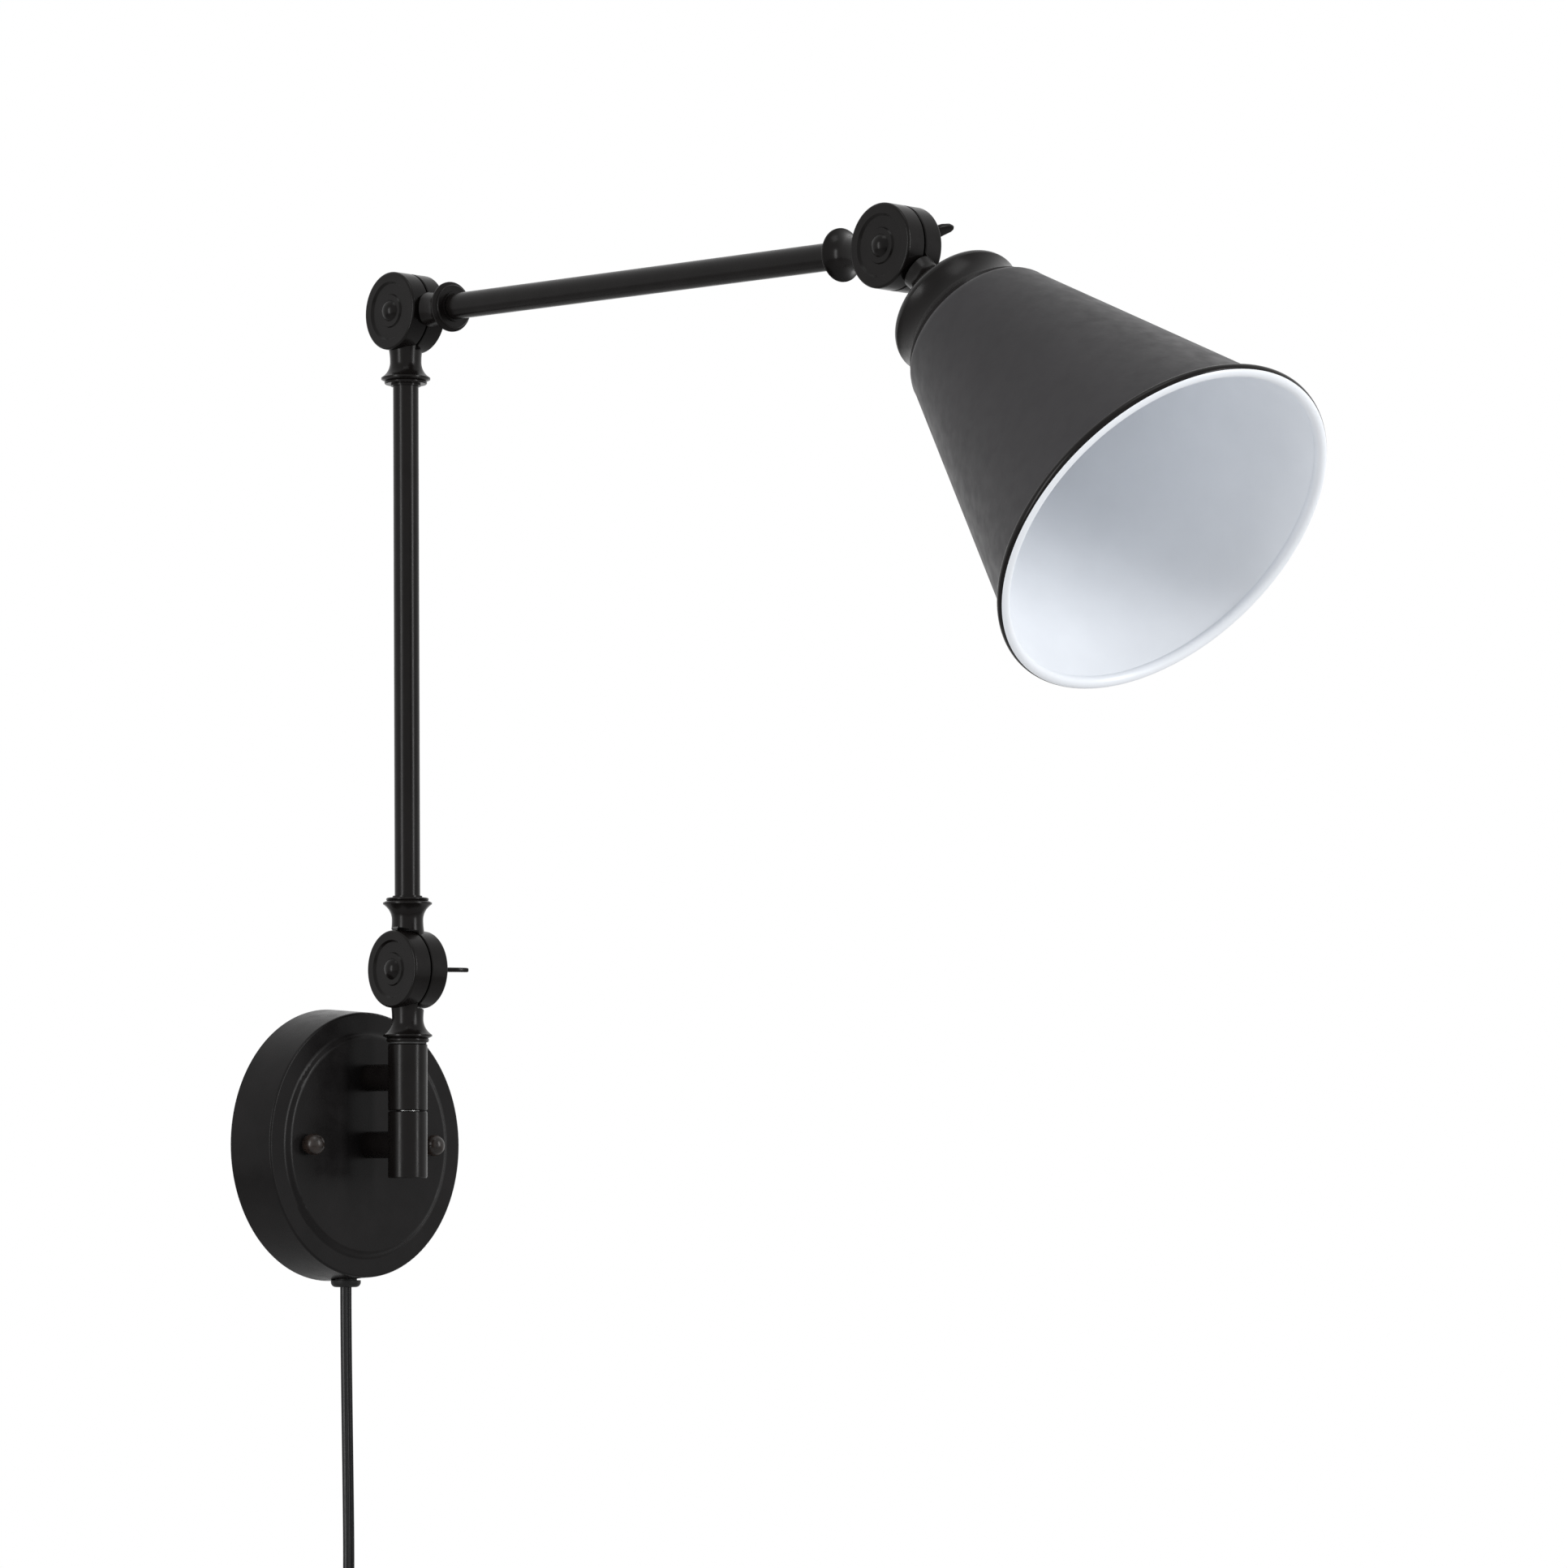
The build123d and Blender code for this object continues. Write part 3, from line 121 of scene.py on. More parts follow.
floor_data = bpy.data.meshes.new("floor")
floor_shape = bmesh.new()
bmesh.ops.create_grid(floor_shape, x_segments=1, y_segments=1, size=FLOOR_HALF)
bmesh.ops.translate(floor_shape, verts=floor_shape.verts, vec=(0, 0, -FLOOR_DROP))
floor_shape.to_mesh(floor_data)
floor_shape.free()
floor = bpy.data.objects.new("floor", floor_data)
bpy.context.collection.objects.link(floor)
floor_paper = bpy.data.materials.new("floor_paper")
floor_paper.use_nodes = True
paper_surface = floor_paper.node_tree.nodes["Principled BSDF"]
paper_surface.inputs["Base Color"].default_value = FLOOR_COLOUR
paper_surface.inputs["Roughness"].default_value = FLOOR_ROUGHNESS
floor_data.materials.append(floor_paper)

# ---- Cord: a flat two-core cord in glossy black PVC, 5.6 mm wide and 1.8 m long. It leaves the
# bushing, hangs down into the switch, makes a tied coil of 8 1/4 turns and ends in the plug.
MM_PER_M = 1000
CORD_OUT = 0.0100
HANG_OUT = 0.0118
CORD_TOP = -0.05855
BEND_TOP = -0.082
BEND_FOOT = -0.168
SWITCH_END_TOP = -0.194
SWITCH_END_BOTTOM = -0.234
COIL_RADIUS = 0.029
COIL_CENTRE = -0.301012
COIL_START = 135
COIL_CORNER = -0.26
TAIL_CORNER = -0.342024
CORD_END = -0.368024
LAYER_PITCH = 0.003
COLUMN_PITCH = 0.0058
POINTS_PER_TURN = 16
TURNS = 8.25
ROUTE_RESOLUTION = 6
SECTION_RESOLUTION = 3
# Each turn's column and layer in the bundle. The cord crosses to the next turn's place over the
# last part of its own turn, from this share of it on.
WINDING = [(-1, -1), (-1, 0), (-1, 1), (0, 1), (0, 0), (0, -1), (1, -1), (1, 0), (1, 1)]
CROSSES_FROM = 0.75
# The section's control points in mm, across and up from its middle: one half, and the other.
LOBES = [(2.85, 0), (2.65, 1.15), (1.35, 1.6), (0, 0.7), (-1.35, 1.6), (-2.65, 1.15)]
LOBES += [(-across, -up) for across, up in LOBES]

route = [(0, -CORD_OUT, CORD_TOP), (0, -CORD_OUT, BEND_TOP), (0, -HANG_OUT, BEND_FOOT)]
for height in (SWITCH_END_TOP, SWITCH_END_BOTTOM, COIL_CORNER):
    route.append((0, -HANG_OUT, height))
for step in range(1, round(TURNS * POINTS_PER_TURN)):
    turns_made = step / POINTS_PER_TURN
    turn = int(turns_made)
    shift = max(0.0, (turns_made - turn - CROSSES_FROM) / (1 - CROSSES_FROM))
    here, after = WINDING[turn], WINDING[min(turn + 1, len(WINDING) - 1)]
    column = here[0] * (1 - shift) + after[0] * shift
    layer = here[1] * (1 - shift) + after[1] * shift
    angle = radians(COIL_START) + 2 * pi * turns_made
    radius = COIL_RADIUS + layer * LAYER_PITCH
    out = -HANG_OUT + column * COLUMN_PITCH
    route.append((radius * cos(angle), out, COIL_CENTRE + radius * sin(angle)))
route += [(0, -HANG_OUT, TAIL_CORNER), (0, -HANG_OUT, CORD_END)]

cord_curve = bpy.data.curves.new("cord_line", "CURVE")
cord_curve.dimensions = "3D"
cord_spline = cord_curve.splines.new("NURBS")
cord_spline.points.add(len(route) - 1)
for point, place in zip(cord_spline.points, route):
    point.co = (*place, 1)
cord_spline.order_u = 3
cord_spline.use_endpoint_u = True
cord_curve.resolution_u = ROUTE_RESOLUTION
cord_line = bpy.data.objects.new("cord_line", cord_curve)
bpy.context.collection.objects.link(cord_line)


def mesh_of(curve_object):
    """The mesh that Blender gives for a curve as it stands."""
    bpy.context.view_layer.update()
    depsgraph = bpy.context.evaluated_depsgraph_get()
    return bpy.data.meshes.new_from_object(curve_object.evaluated_get(depsgraph))


cord_path = [vertex.co.copy() for vertex in mesh_of(cord_line).vertices]

lobe_curve = bpy.data.curves.new("cord_section", "CURVE")
lobe_curve.dimensions = "2D"
lobe_spline = lobe_curve.splines.new("NURBS")
lobe_spline.points.add(len(LOBES) - 1)
for point, (across, up) in zip(lobe_spline.points, LOBES):
    point.co = (up / MM_PER_M, across / MM_PER_M, 0, 1)
lobe_spline.order_u = 3
lobe_spline.use_cyclic_u = True
lobe_curve.resolution_u = SECTION_RESOLUTION
lobe_line = bpy.data.objects.new("cord_section", lobe_curve)
bpy.context.collection.objects.link(lobe_line)

cord_curve.bevel_mode = "OBJECT"
cord_curve.bevel_object = lobe_line
cord_curve.use_fill_caps = True
cord = bpy.data.objects.new("flat_cord", mesh_of(cord_line))
bpy.context.collection.objects.link(cord)
bpy.data.objects.remove(cord_line)
bpy.data.objects.remove(lobe_line)
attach(cord, "wall_side")
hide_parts("power_cord", "cord_to_coil", "cord_coil", "cord_to_plug")

# Noise keeps mostly between these two values, and a finish spreads that over its whole range.
NOISE_LOW = 0.32
NOISE_HIGH = 0.68


def new_finish(name, **constants):
    """A new material with fixed values on its surface, named by socket with _ for each space."""
    material = bpy.data.materials.new(name)
    material.use_nodes = True
    surface = material.node_tree.nodes["Principled BSDF"]
    for word, value in constants.items():
        surface.inputs[word.replace("_", " ")].default_value = value
    return material


def grain(material, size, detail=3, stretch=(1, 1, 1)):
    """Cloudy noise over the piece, with spots of about a size in metres."""
    tree = material.node_tree
    place = tree.nodes.new("ShaderNodeTexCoord")
    stretched = tree.nodes.new("ShaderNodeMapping")
    stretched.inputs["Scale"].default_value = stretch
    noise = tree.nodes.new("ShaderNodeTexNoise")
    noise.inputs["Scale"].default_value = 1 / size
    noise.inputs["Detail"].default_value = detail
    tree.links.new(place.outputs["Object"], stretched.inputs["Vector"])
    tree.links.new(stretched.outputs["Vector"], noise.inputs["Vector"])
    return noise.outputs[0]


def spread(material, amount, lowest=0.0, highest=1.0):
    """A noise drawn apart, so that it runs from a lowest to a highest value."""
    tree = material.node_tree
    spread_noise = tree.nodes.new("ShaderNodeMapRange")
    spread_noise.inputs["From Min"].default_value = NOISE_LOW
    spread_noise.inputs["From Max"].default_value = NOISE_HIGH
    spread_noise.inputs["To Min"].default_value = lowest
    spread_noise.inputs["To Max"].default_value = highest
    tree.links.new(amount, spread_noise.inputs["Value"])
    return spread_noise.outputs["Result"]


def tint(material, amount, dark, light):
    """The surface's colour, between two colours along a noise."""
    tree = material.node_tree
    mix = tree.nodes.new("ShaderNodeMix")
    mix.data_type = "RGBA"
    mix.inputs["A"].default_value = (*dark, 1)
    mix.inputs["B"].default_value = (*light, 1)
    tree.links.new(spread(material, amount), mix.inputs["Factor"])
    tree.links.new(mix.outputs["Result"], tree.nodes["Principled BSDF"].inputs["Base Color"])


def gloss(material, amount, smooth, rough):
    """The surface's roughness, between two values along a noise."""
    tree = material.node_tree
    roughness = spread(material, amount, lowest=smooth, highest=rough)
    tree.links.new(roughness, tree.nodes["Principled BSDF"].inputs["Roughness"])


def relief(material, *layers):
    """Fine relief from layers of (noise, height in metres), the last one uppermost."""
    tree = material.node_tree
    below = None
    for amount, height in layers:
        bump = tree.nodes.new("ShaderNodeBump")
        bump.inputs["Distance"].default_value = height
        tree.links.new(amount, bump.inputs["Height"])
        if below:
            tree.links.new(below, bump.inputs["Normal"])
        below = bump.outputs["Normal"]
    tree.links.new(below, tree.nodes["Principled BSDF"].inputs["Normal"])


cord_pvc = new_finish("cord_pvc", Specular_IOR_Level=0.13)
tint(
    cord_pvc,
    grain(cord_pvc, size=0.012),
    dark=(0.0030, 0.0030, 0.0034),
    light=(0.0054, 0.0054, 0.0058),
)
gloss(cord_pvc, grain(cord_pvc, size=0.004), smooth=0.16, rough=0.24)
relief(
    cord_pvc,
    (grain(cord_pvc, size=0.006, detail=2), 0.00001),
    (grain(cord_pvc, size=0.001, detail=2), 0.000001),
)
cord.data.materials.append(cord_pvc)
cord.data.shade_smooth()


# ---- Wall bar: a strap pressed from zinc-plated steel. Two wall screws go through its slots, and
# it carries the canopy studs and the earthing screw.
def dress(finish, *names):
    """Give nodes of the lamp a finish."""
    for name in names:
        for slot in nodes[name].material_slots:
            slot.material = finish


zinc_plate = new_finish("zinc_plate", Metallic=1.0)
tint(
    zinc_plate,
    grain(zinc_plate, size=0.009, detail=4),
    dark=(0.46, 0.47, 0.46),
    light=(0.66, 0.67, 0.66),
)
gloss(zinc_plate, grain(zinc_plate, size=0.003, detail=4), smooth=0.24, rough=0.42)
relief(
    zinc_plate,
    (grain(zinc_plate, size=0.0012, detail=2, stretch=(1, 1, 6)), 0.00002),
    (grain(zinc_plate, size=0.0003, detail=2), 0.000008),
)
dress(zinc_plate, "wall_crossbar", "canopy_studs")

green_chromate = new_finish("green_chromate", Metallic=1.0)
tint(
    green_chromate,
    grain(green_chromate, size=0.003),
    dark=(0.10, 0.24, 0.10),
    light=(0.20, 0.38, 0.17),
)
gloss(green_chromate, grain(green_chromate, size=0.002), smooth=0.25, rough=0.4)
relief(green_chromate, (grain(green_chromate, size=0.0004), 0.00001))
dress(green_chromate, "ground_screw")

# ---- Canopy: a cup spun from 1.2 mm steel sheet with a raised middle, stoved satin black inside
# and out. It is held on the wall bar's studs by two ball cap nuts with a warmer, browner black.
stoved_black = new_finish("stoved_black", Specular_IOR_Level=0.1)
tint(
    stoved_black,
    grain(stoved_black, size=0.022, detail=4),
    dark=(0.0060, 0.0055, 0.0055),
    light=(0.0095, 0.0086, 0.0088),
)
gloss(stoved_black, grain(stoved_black, size=0.005), smooth=0.24, rough=0.32)
relief(
    stoved_black,
    (grain(stoved_black, size=0.0022, detail=2), 0.000012),
    (grain(stoved_black, size=0.0004, detail=2), 0.000003),
)
dress(stoved_black, "canopy")

bronzed_black = new_finish("bronzed_black", Specular_IOR_Level=0.3)
tint(
    bronzed_black,
    grain(bronzed_black, size=0.003, detail=4),
    dark=(0.009, 0.0065, 0.0055),
    light=(0.022, 0.015, 0.012),
)
gloss(bronzed_black, grain(bronzed_black, size=0.0015), smooth=0.22, rough=0.36)
relief(bronzed_black, (grain(bronzed_black, size=0.0006, detail=2), 0.00001))
dress(bronzed_black, "cap_nuts")

# ---- Posts and collars: two short steel posts, turned down behind the canopy to tenons that
# hexagon nuts draw tight. Each is brazed to a turned collar, and the two collars stand in line.
# They and the arms have a glossier black than the canopy.
glossy_black = new_finish("glossy_black", Specular_IOR_Level=0.125)
tint(
    glossy_black,
    grain(glossy_black, size=0.012, detail=4),
    dark=(0.0040, 0.0033, 0.0031),
    light=(0.0062, 0.0053, 0.0051),
)
gloss(glossy_black, grain(glossy_black, size=0.005), smooth=0.22, rough=0.28)
relief(
    glossy_black,
    (grain(glossy_black, size=0.0025, detail=2), 0.00001),
    (grain(glossy_black, size=0.0005, detail=2), 0.000002),
)
dress(glossy_black, "upper_post", "lower_post", "upper_collar", "lower_collar")
dress(zinc_plate, "post_washers", "post_nuts")

# ---- Swivel: the hub is cast with the base knuckle's lower half and turns in the collars on a
# hollow steel spindle, with plastic thrust washers and a thin nut in the lower collar.
washer_black = new_finish("washer_black")
tint(
    washer_black,
    grain(washer_black, size=0.002),
    dark=(0.012, 0.012, 0.012),
    light=(0.024, 0.024, 0.024),
)
gloss(washer_black, grain(washer_black, size=0.0015), smooth=0.5, rough=0.7)
relief(washer_black, (grain(washer_black, size=0.0003), 0.00001))
dress(glossy_black, "swivel_hub")
dress(zinc_plate, "swivel_spindle", "spindle_nut")
dress(washer_black, "swivel_washers")

# ---- Knuckles: each is two half drums cast in zinc alloy and stoved black, drawn together over a
# plastic friction washer by a dome-headed bolt and a cast wing nut with two leaf-shaped wings.
KNUCKLE_YAW = -6.4
WING_SEAT = 0.00911
WING_BORE_R = 0.00256
WING_HUB = [(0.0046, 0), (0.0046, 0.0006), (0.0039, 0.0050), (0.0033, 0.0056)]
# A wing's outline in mm, out from the nut's axis and up from its seat.
WING_LEAF = [(3.0, 0.7), (5.3, 0.7), (8.7, 2.0), (11.6, 4.7), (13.3, 8.3), (14.0, 12.1)]
WING_LEAF += [(13.6, 14.0), (12.4, 14.6), (11.0, 13.9), (8.9, 11.0), (6.9, 8.6)]
WING_LEAF += [(4.9, 6.6), (3.0, 5.2)]
WING_THICK = 0.0019
WING_ROUND = 0.00055
WING_ROUND_STEPS = 3
WING_TURNS = {"base": 0, "elbow": -4, "head": 50}
HUB_STEPS = 48
# In degrees: a wing's edges that turn by more than the first are rounded, and on every piece
# the edges that turn by more than the second are shaded sharp.
ROUNDED_FROM = 60
SHARP_FROM = 35
MERGED_WITHIN = 2e-6


def draw_line(shape, start, *ends):
    """Extrude a vertex along straight runs to points of (radius, height)."""
    for radius, height in ends:
        end = bmesh.ops.extrude_vert_indiv(shape, verts=[start])["verts"][0]
        end.co = (radius, 0, height)
        start = end
    return start


def draw_arc(shape, start, centre, degrees, steps):
    """Spin a vertex along an arc about a point of (radius, height)."""
    spun = bmesh.ops.spin(
        shape,
        geom=[start],
        cent=(centre[0], 0, centre[1]),
        axis=(0, -1, 0),
        angle=radians(degrees),
        steps=steps,
    )
    return next(part for part in spun["geom_last"] if isinstance(part, bmesh.types.BMVert))


def turn_round(shape, steps, rise=0):
    """Turn the drawn profile about the Z axis into a surface, rising by a height in one turn."""
    bmesh.ops.spin(
        shape,
        geom=shape.verts[:] + shape.edges[:],
        cent=(0, 0, 0),
        axis=(0, 0, 1),
        angle=2 * pi,
        dvec=(0, 0, rise / steps),
        steps=steps,
        use_merge=rise == 0,
    )
    bmesh.ops.remove_doubles(shape, verts=shape.verts, dist=MERGED_WITHIN)
    bmesh.ops.recalc_face_normals(shape, faces=shape.faces)


def draw_wing(nut, side):
    """Draw one wing on a side of the nut's axis, lying flat with half its thickness below."""
    outline = [(side * out / MM_PER_M, up / MM_PER_M) for out, up in WING_LEAF]
    start = nut.verts.new((*outline[0], -WING_THICK / 2))
    corners = [start]
    for spot in outline[1:]:
        corner = bmesh.ops.extrude_vert_indiv(nut, verts=[corners[-1]])["verts"][0]
        corner.co = (*spot, -WING_THICK / 2)
        corners.append(corner)
    nut.edges.new((corners[-1], start))
    edges = [e for e in nut.edges if all(v in corners for v in e.verts)]
    leaf = bmesh.ops.edgenet_fill(nut, edges=edges)["faces"]
    grown = bmesh.ops.extrude_face_region(nut, geom=leaf, use_keep_orig=True)["geom"]
    top = [part for part in grown if isinstance(part, bmesh.types.BMVert)]
    bmesh.ops.translate(nut, vec=(0, 0, WING_THICK), verts=top)


def draw_wing_nut():
    """A wing nut about the Z axis, standing on its seat, with its wings to both sides along X."""
    nut = bmesh.new()
    for side in (1, -1):
        draw_wing(nut, side)
    upright = Matrix.Rotation(radians(90), 3, "X")
    bmesh.ops.rotate(nut, cent=(0, 0, 0), matrix=upright, verts=nut.verts)
    bmesh.ops.recalc_face_normals(nut, faces=nut.faces)
    bmesh.ops.bevel(
        nut,
        geom=[e for e in nut.edges if e.calc_face_angle(0) > radians(ROUNDED_FROM)],
        offset=WING_ROUND,
        segments=WING_ROUND_STEPS,
        profile=0.5,
        affect="EDGES",
        material=-1,
    )
    hub = bmesh.new()
    start = hub.verts.new((WING_BORE_R, 0, 0))
    end = draw_line(hub, start, *WING_HUB, (WING_BORE_R, WING_HUB[-1][1]))
    hub.edges.new((end, start))
    turn_round(hub, HUB_STEPS)
    hub_mesh = bpy.data.meshes.new("wing_hub")
    hub.to_mesh(hub_mesh)
    hub.free()
    nut.from_mesh(hub_mesh)
    bpy.data.meshes.remove(hub_mesh)
    return nut


def knuckle_place(name):
    """The frame of a knuckle: its hinge, with X along the bolt."""
    hinge = next(j for j in frame["joints"] if j["name"] == f"{name}_knuckle")["pos_m"]
    return Matrix.Translation(hinge) @ Matrix.Rotation(radians(KNUCKLE_YAW), 4, "Z")


def make_piece(name, shape, place, body, *finishes):
    """A piece of the lamp from a shape drawn about its own axis, riding on a body of the lamp."""
    bmesh.ops.transform(shape, matrix=place, verts=shape.verts)
    for face in shape.faces:
        face.smooth = True
    for edge in shape.edges:
        edge.smooth = edge.calc_face_angle(0) < radians(SHARP_FROM)
    data = bpy.data.meshes.new(name)
    shape.to_mesh(data)
    shape.free()
    for finish in finishes:
        data.materials.append(finish)
    piece = bpy.data.objects.new(name, data)
    bpy.context.collection.objects.link(piece)
    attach(piece, body)
    return piece


dress(glossy_black, "lower_arm_foot", "lower_arm_head", "upper_arm_foot", "upper_arm_head")
dress(glossy_black, "base_knuckle_bolt", "elbow_knuckle_bolt", "head_knuckle_bolt", "head_neck")
dress(washer_black, "base_knuckle_washer", "elbow_knuckle_washer", "head_knuckle_washer")

for name, wing_turn in WING_TURNS.items():
    nut_place = (
        knuckle_place(name)
        @ Matrix.Rotation(radians(180 - wing_turn), 4, "X")
        @ Matrix.Rotation(radians(90), 4, "Y")
        @ Matrix.Translation((0, 0, WING_SEAT))
        @ Matrix.Rotation(radians(90), 4, "Z")
    )
    nut = draw_wing_nut()
    wing_nut = make_piece(f"{name}_leaf_nut", nut, nut_place, f"{name}_wing", glossy_black)
    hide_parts(f"{name}_wing_nut")

# ---- Arms: drawn steel tubes with a 1.2 mm wall, pressed into the knuckles' sockets and stoved
# black with them.
dress(glossy_black, "lower_arm_tube", "upper_arm_tube")

# ---- Socket cup: spun steel, stepped and waisted, clamped under the head's neck by a hollow
# threaded nipple and a thin nut.
dress(glossy_black, "socket_cup")
dress(zinc_plate, "socket_nipple", "socket_locknut")

# ---- Lampholder: white glazed porcelain, threaded for the shade ring. Its brass screw shell is
# rolled from sheet with the round thread of a 26 mm lamp base, and turned in at its foot.
HEAD_TILT = 49.6
SHELL_FOOT = 0.06802
SHELL_END = 0.086
SHELL_LIP_R = 0.009
SHELL_SHEET = 0.0003
THREAD_R = 0.01353
THREAD_PITCH = 0.00363
THREAD_ARC_OFF = 0.0011
THREAD_ARC = 78.8
THREAD_ARC_STEPS = 4
THREAD_TURNS = 7
THREAD_STEPS = 72
FOOT_WITHIN = 1e-5

head_place = knuckle_place("head") @ Matrix.Rotation(radians(180 - HEAD_TILT), 4, "X")

glazed_white = new_finish("glazed_white", Coat_Weight=0.6, Coat_Roughness=0.06)
tint(
    glazed_white,
    grain(glazed_white, size=0.006),
    dark=(0.74, 0.73, 0.69),
    light=(0.82, 0.81, 0.78),
)
gloss(glazed_white, grain(glazed_white, size=0.003), smooth=0.18, rough=0.3)
relief(
    glazed_white,
    (grain(glazed_white, size=0.004, detail=2), 0.00004),
    (grain(glazed_white, size=0.0005), 0.000008),
)
dress(glazed_white, "lampholder")

brass = new_finish("brass", Metallic=1.0)
tint(brass, grain(brass, size=0.005, detail=4), dark=(0.62, 0.44, 0.18), light=(0.80, 0.63, 0.33))
gloss(brass, grain(brass, size=0.0015, detail=4), smooth=0.16, rough=0.34)
relief(brass, (grain(brass, size=0.0008, detail=2), 0.00001))
dress(brass, "centre_contact", "plug_blades")

# Arcs out and in make the thread's profile, which meets itself when it is screwed round by one
# pitch. The ends are then cut off square, and the foot is turned in.
thread = bmesh.new()
thread_height = SHELL_FOOT - THREAD_PITCH
thread_end = thread.verts.new((THREAD_R, 0, thread_height))
for half_turn in range(2 * THREAD_TURNS):
    inwards = 1 if half_turn % 2 else -1
    centre = (THREAD_R - inwards * THREAD_ARC_OFF, thread_height + THREAD_PITCH / 4)
    thread_end = draw_arc(thread, thread_end, centre, inwards * THREAD_ARC, THREAD_ARC_STEPS)
    thread_height += THREAD_PITCH / 2
turn_round(thread, THREAD_STEPS, rise=-THREAD_PITCH)
for height, up in ((SHELL_FOOT, -1), (SHELL_END, 1)):
    bmesh.ops.bisect_plane(
        thread,
        geom=thread.verts[:] + thread.edges[:] + thread.faces[:],
        plane_co=(0, 0, height),
        plane_no=(0, 0, up),
        clear_outer=True,
    )
foot_edges = [
    edge
    for edge in thread.edges
    if edge.is_boundary and all(v.co.z < SHELL_FOOT + FOOT_WITHIN for v in edge.verts)
]
foot = bmesh.ops.extrude_edge_only(thread, edges=foot_edges)["geom"]
for part in foot:
    if isinstance(part, bmesh.types.BMVert):
        part.co.xy *= SHELL_LIP_R / part.co.xy.length
bmesh.ops.recalc_face_normals(thread, faces=thread.faces)
bmesh.ops.solidify(thread, geom=thread.faces[:], thickness=SHELL_SHEET)
rolled_shell = make_piece("rolled_screw_shell", thread, head_place, "head", brass)
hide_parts("screw_shell")

# ---- Shade: a cone spun from 0.9 mm aluminium with a rolled rim, clamped between the socket cup
# and the shade ring. It is stoved black outside and enamelled white inside and on the rim's front.
# Outside, the cone's lighter charcoal is painted sheen and the roll's glossy black is painted
# shade.
SHADE_WALL = 0.0009
SHADE_HOLE_R = 0.0201
SHADE_TOP = 0.06322
SHADE_SHOULDER = [(0.0315, 0.06322), (0.0328, 0.06385), (0.03355, 0.06471)]
SHADE_SHOULDER += [(0.0341, 0.0659), (0.0344, 0.0674)]
SHADE_MOUTH = (0.07005, 0.18937)
RIM_CENTRE = (0.0714, 0.1914)
RIM_TURN = 335.6
RIM_STEPS = 28
INNER_SHOULDER = [(0.0335, 0.0674), (0.0330, 0.0659), (0.0324, 0.06505), (0.0312, 0.06412)]
SHADE_STEPS = 160
# A face is enamelled where its normal points outwards by less than the first of these, or by
# less than the second if it also points to the front.
ENAMEL_ANYWHERE = -0.15
ENAMEL_ON_FRONT = 0.77

# The shade's black paint drawn lighter, as a painted sheen of the bright room.
charcoal_painted_sheen = new_finish("charcoal_painted_sheen", Specular_IOR_Level=0.2)
tint(
    charcoal_painted_sheen,
    grain(charcoal_painted_sheen, size=0.03, detail=4),
    dark=(0.019, 0.018, 0.0195),
    light=(0.024, 0.0225, 0.0245),
)
gloss(charcoal_painted_sheen, grain(charcoal_painted_sheen, size=0.006), smooth=0.36, rough=0.46)
relief(
    charcoal_painted_sheen,
    (grain(charcoal_painted_sheen, size=0.0016, detail=2), 0.00002),
    (grain(charcoal_painted_sheen, size=0.00035, detail=2), 0.000006),
)
white_enamel = new_finish("white_enamel", Specular_IOR_Level=0.4)
tint(
    white_enamel,
    grain(white_enamel, size=0.02, detail=4),
    dark=(0.82, 0.85, 0.895),
    light=(0.85, 0.88, 0.925),
)
gloss(white_enamel, grain(white_enamel, size=0.008), smooth=0.28, rough=0.38)
relief(
    white_enamel,
    (grain(white_enamel, size=0.003, detail=2), 0.00002),
    (grain(white_enamel, size=0.0006, detail=2), 0.000005),
)

cone = bmesh.new()
hole_edge = cone.verts.new((SHADE_HOLE_R, 0, SHADE_TOP))
mouth = draw_line(cone, hole_edge, *SHADE_SHOULDER, SHADE_MOUTH)
rolled = draw_arc(cone, mouth, RIM_CENTRE, RIM_TURN, RIM_STEPS)
last = draw_line(cone, rolled, *INNER_SHOULDER, (SHADE_HOLE_R, SHADE_TOP + SHADE_WALL))
cone.edges.new((last, hole_edge))
turn_round(cone, SHADE_STEPS)
shade_finishes = (charcoal_painted_sheen, white_enamel, glossy_black)
for face in cone.faces:
    middle = face.calc_center_median()
    outwards = face.normal.xy.dot(middle.xy.normalized())
    faces_front = outwards < ENAMEL_ON_FRONT and face.normal.z > 0
    roll_painted_shade = middle.z > SHADE_MOUTH[1] or middle.xy.length > SHADE_MOUTH[0]
    if outwards < ENAMEL_ANYWHERE or faces_front:
        face.material_index = shade_finishes.index(white_enamel)
    # The roll's outside takes a darker black than the cone: painted shade on the same paint.
    elif roll_painted_shade:
        face.material_index = shade_finishes.index(glossy_black)
spun_shade = make_piece("spun_shade", cone, head_place, "head", *shade_finishes)
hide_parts("shade")
# The shade ring takes the same lightened charcoal, a painted sheen.
dress(charcoal_painted_sheen, "shade_ring")

# ---- Bushing, switch, tie and plug: moulded in black plastic, the rocker glossy like the cord and
# the tie in dull rubber. Two zinc-plated screws, sunk in the switch's back, hold its shells.
moulded_black = new_finish("moulded_black", Specular_IOR_Level=0.18)
tint(
    moulded_black,
    grain(moulded_black, size=0.006),
    dark=(0.006, 0.006, 0.006),
    light=(0.011, 0.011, 0.011),
)
gloss(moulded_black, grain(moulded_black, size=0.002), smooth=0.42, rough=0.58)
relief(moulded_black, (grain(moulded_black, size=0.0005, detail=2), 0.00003))
dress(moulded_black, "cord_bushing", "switch_front", "switch_back", "plug_body")
dress(cord_pvc, "switch_rocker")
dress(zinc_plate, "switch_screws")
dress(washer_black, "cord_tie")

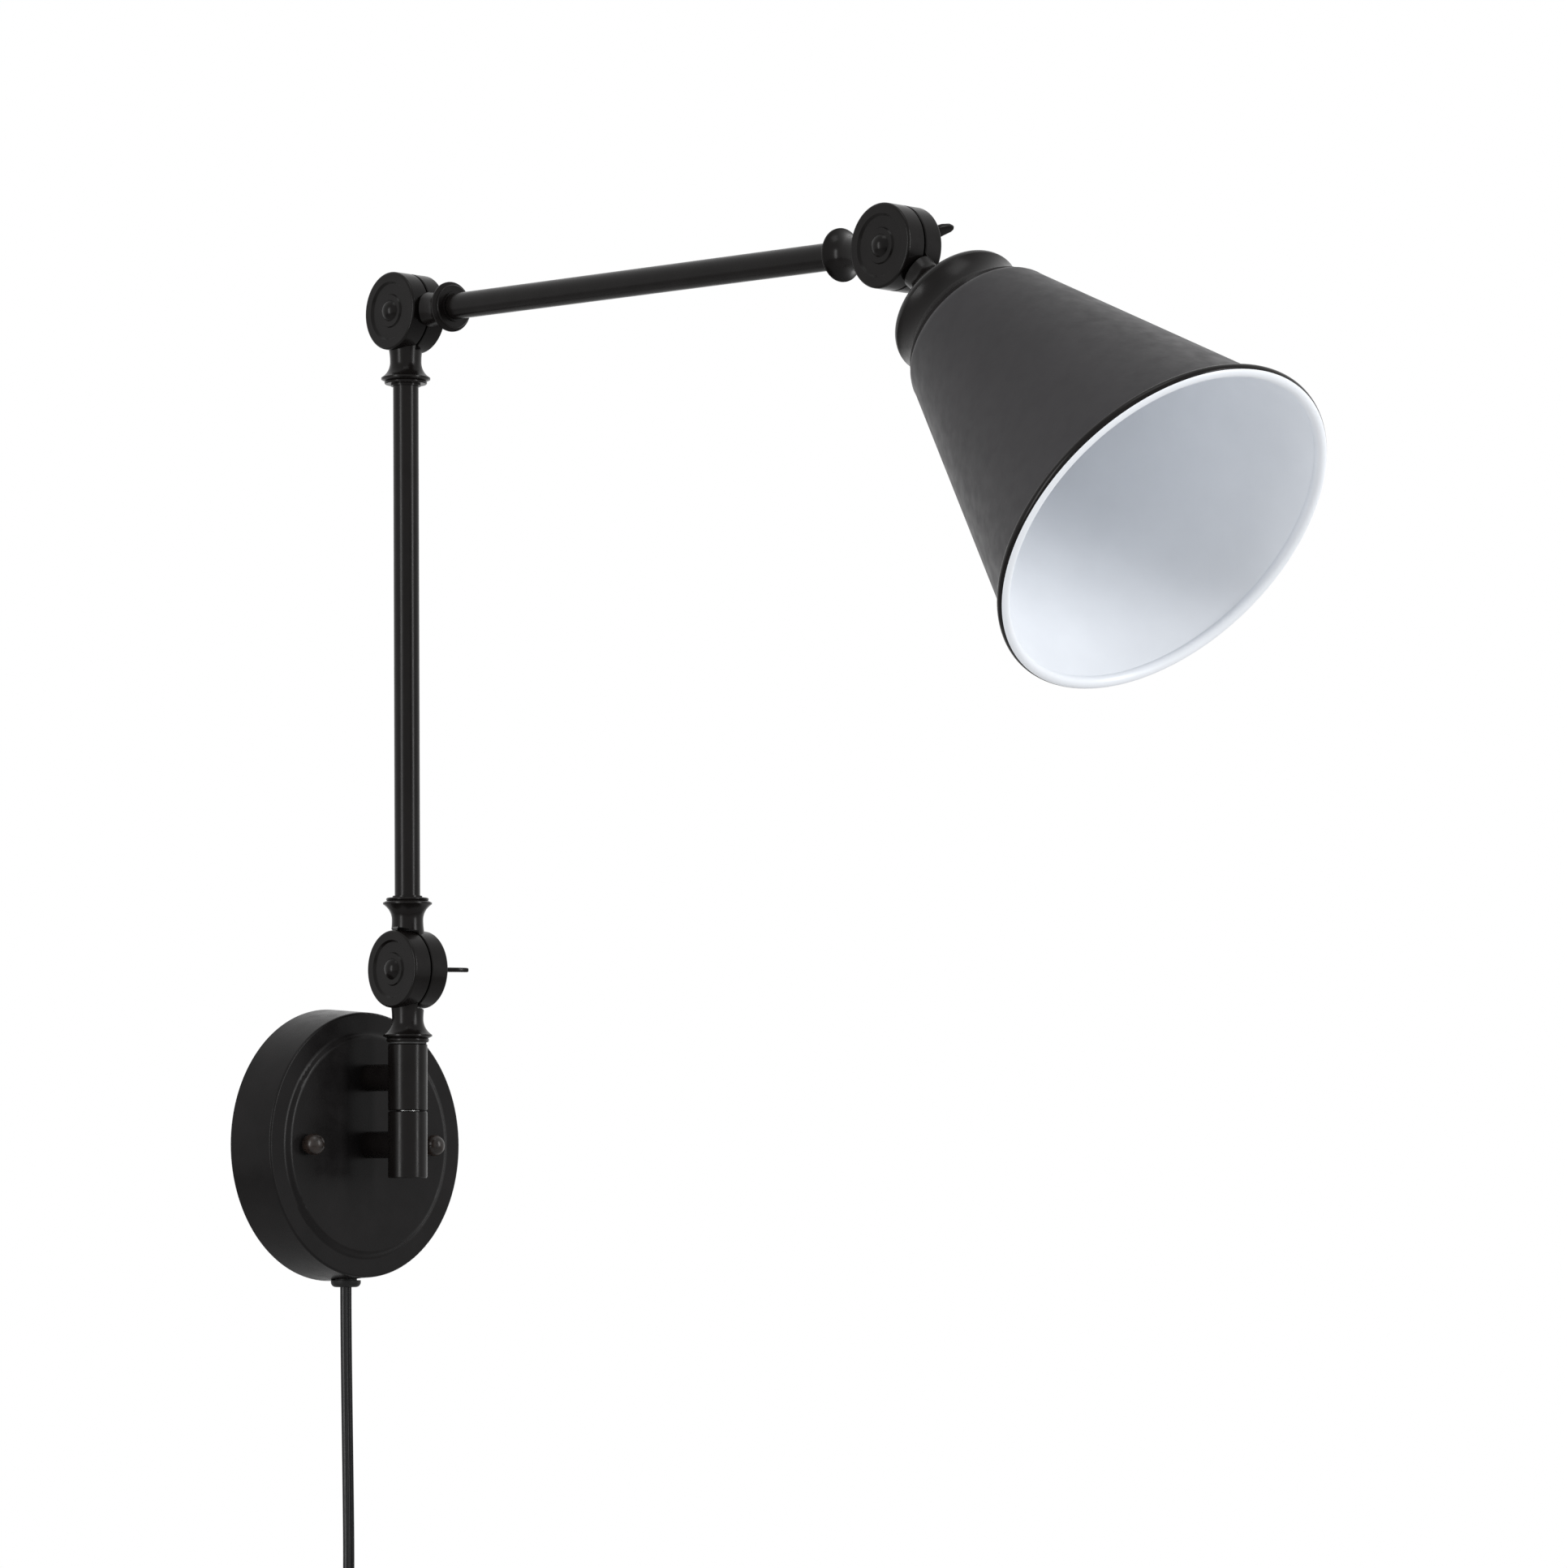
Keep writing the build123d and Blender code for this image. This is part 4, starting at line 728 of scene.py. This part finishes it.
# ---- Switch marks: the bar for on and the ring for off, printed in white on the rocker's hollow
# face. They are films of paint that follow the face, whose height grows with the square of the
# distance from its middle.
ROCKER_PIVOT = (0, -0.0162, -0.214)
ROCKER_TILT = 9
ROCKER_FACE = 0.0034
ROCKER_FACE_CURVE = 36
MARK_OFF = 0.0043
MARK_HEIGHT = 0.0002
MARK_PROUD = MARK_HEIGHT / 8
RING_MARK_R = (0.00105, 0.0015)
BAR_MARK = (0.0028, 0.0005)
MARK_STEPS = 40
MARK_CUTS = 8

mark_white = new_finish("mark_white")
tint(
    mark_white,
    grain(mark_white, size=0.0006),
    dark=(0.66, 0.66, 0.65),
    light=(0.76, 0.76, 0.75),
)
gloss(mark_white, grain(mark_white, size=0.0008), smooth=0.4, rough=0.55)
relief(mark_white, (grain(mark_white, size=0.0003), 0.000005))

ring_mark = bmesh.new()
start = ring_mark.verts.new((RING_MARK_R[0], 0, -MARK_HEIGHT))
ring_profile = [(RING_MARK_R[1], -MARK_HEIGHT), (RING_MARK_R[1], 0), (RING_MARK_R[0], 0)]
end = draw_line(ring_mark, start, *ring_profile)
ring_mark.edges.new((end, start))
turn_round(ring_mark, MARK_STEPS)

bar_mark = bmesh.new()
bmesh.ops.create_cube(bar_mark, size=1)
bmesh.ops.scale(bar_mark, vec=(*BAR_MARK, MARK_HEIGHT), verts=bar_mark.verts)
bmesh.ops.translate(bar_mark, vec=(0, 0, -MARK_HEIGHT / 2), verts=bar_mark.verts)
long_edges = [e for e in bar_mark.edges if abs(e.verts[0].co.x - e.verts[1].co.x) > MARK_HEIGHT]
bmesh.ops.subdivide_edges(bar_mark, edges=long_edges, cuts=MARK_CUTS)

rocker_place = (
    Matrix.Translation(ROCKER_PIVOT)
    @ Matrix.Rotation(radians(90), 4, "Y")
    @ Matrix.Rotation(radians(ROCKER_TILT), 4, "Z")
    @ Matrix.Rotation(radians(90), 4, "X")
)
for name, shape, along in (("off_mark", ring_mark, MARK_OFF), ("on_mark", bar_mark, -MARK_OFF)):
    for corner in shape.verts:
        corner.co.x += along
        face_height = ROCKER_FACE + ROCKER_FACE_CURVE * corner.co.x ** 2
        corner.co.z += face_height + MARK_PROUD
    mark = make_piece(name, shape, rocker_place, "rocker", mark_white)
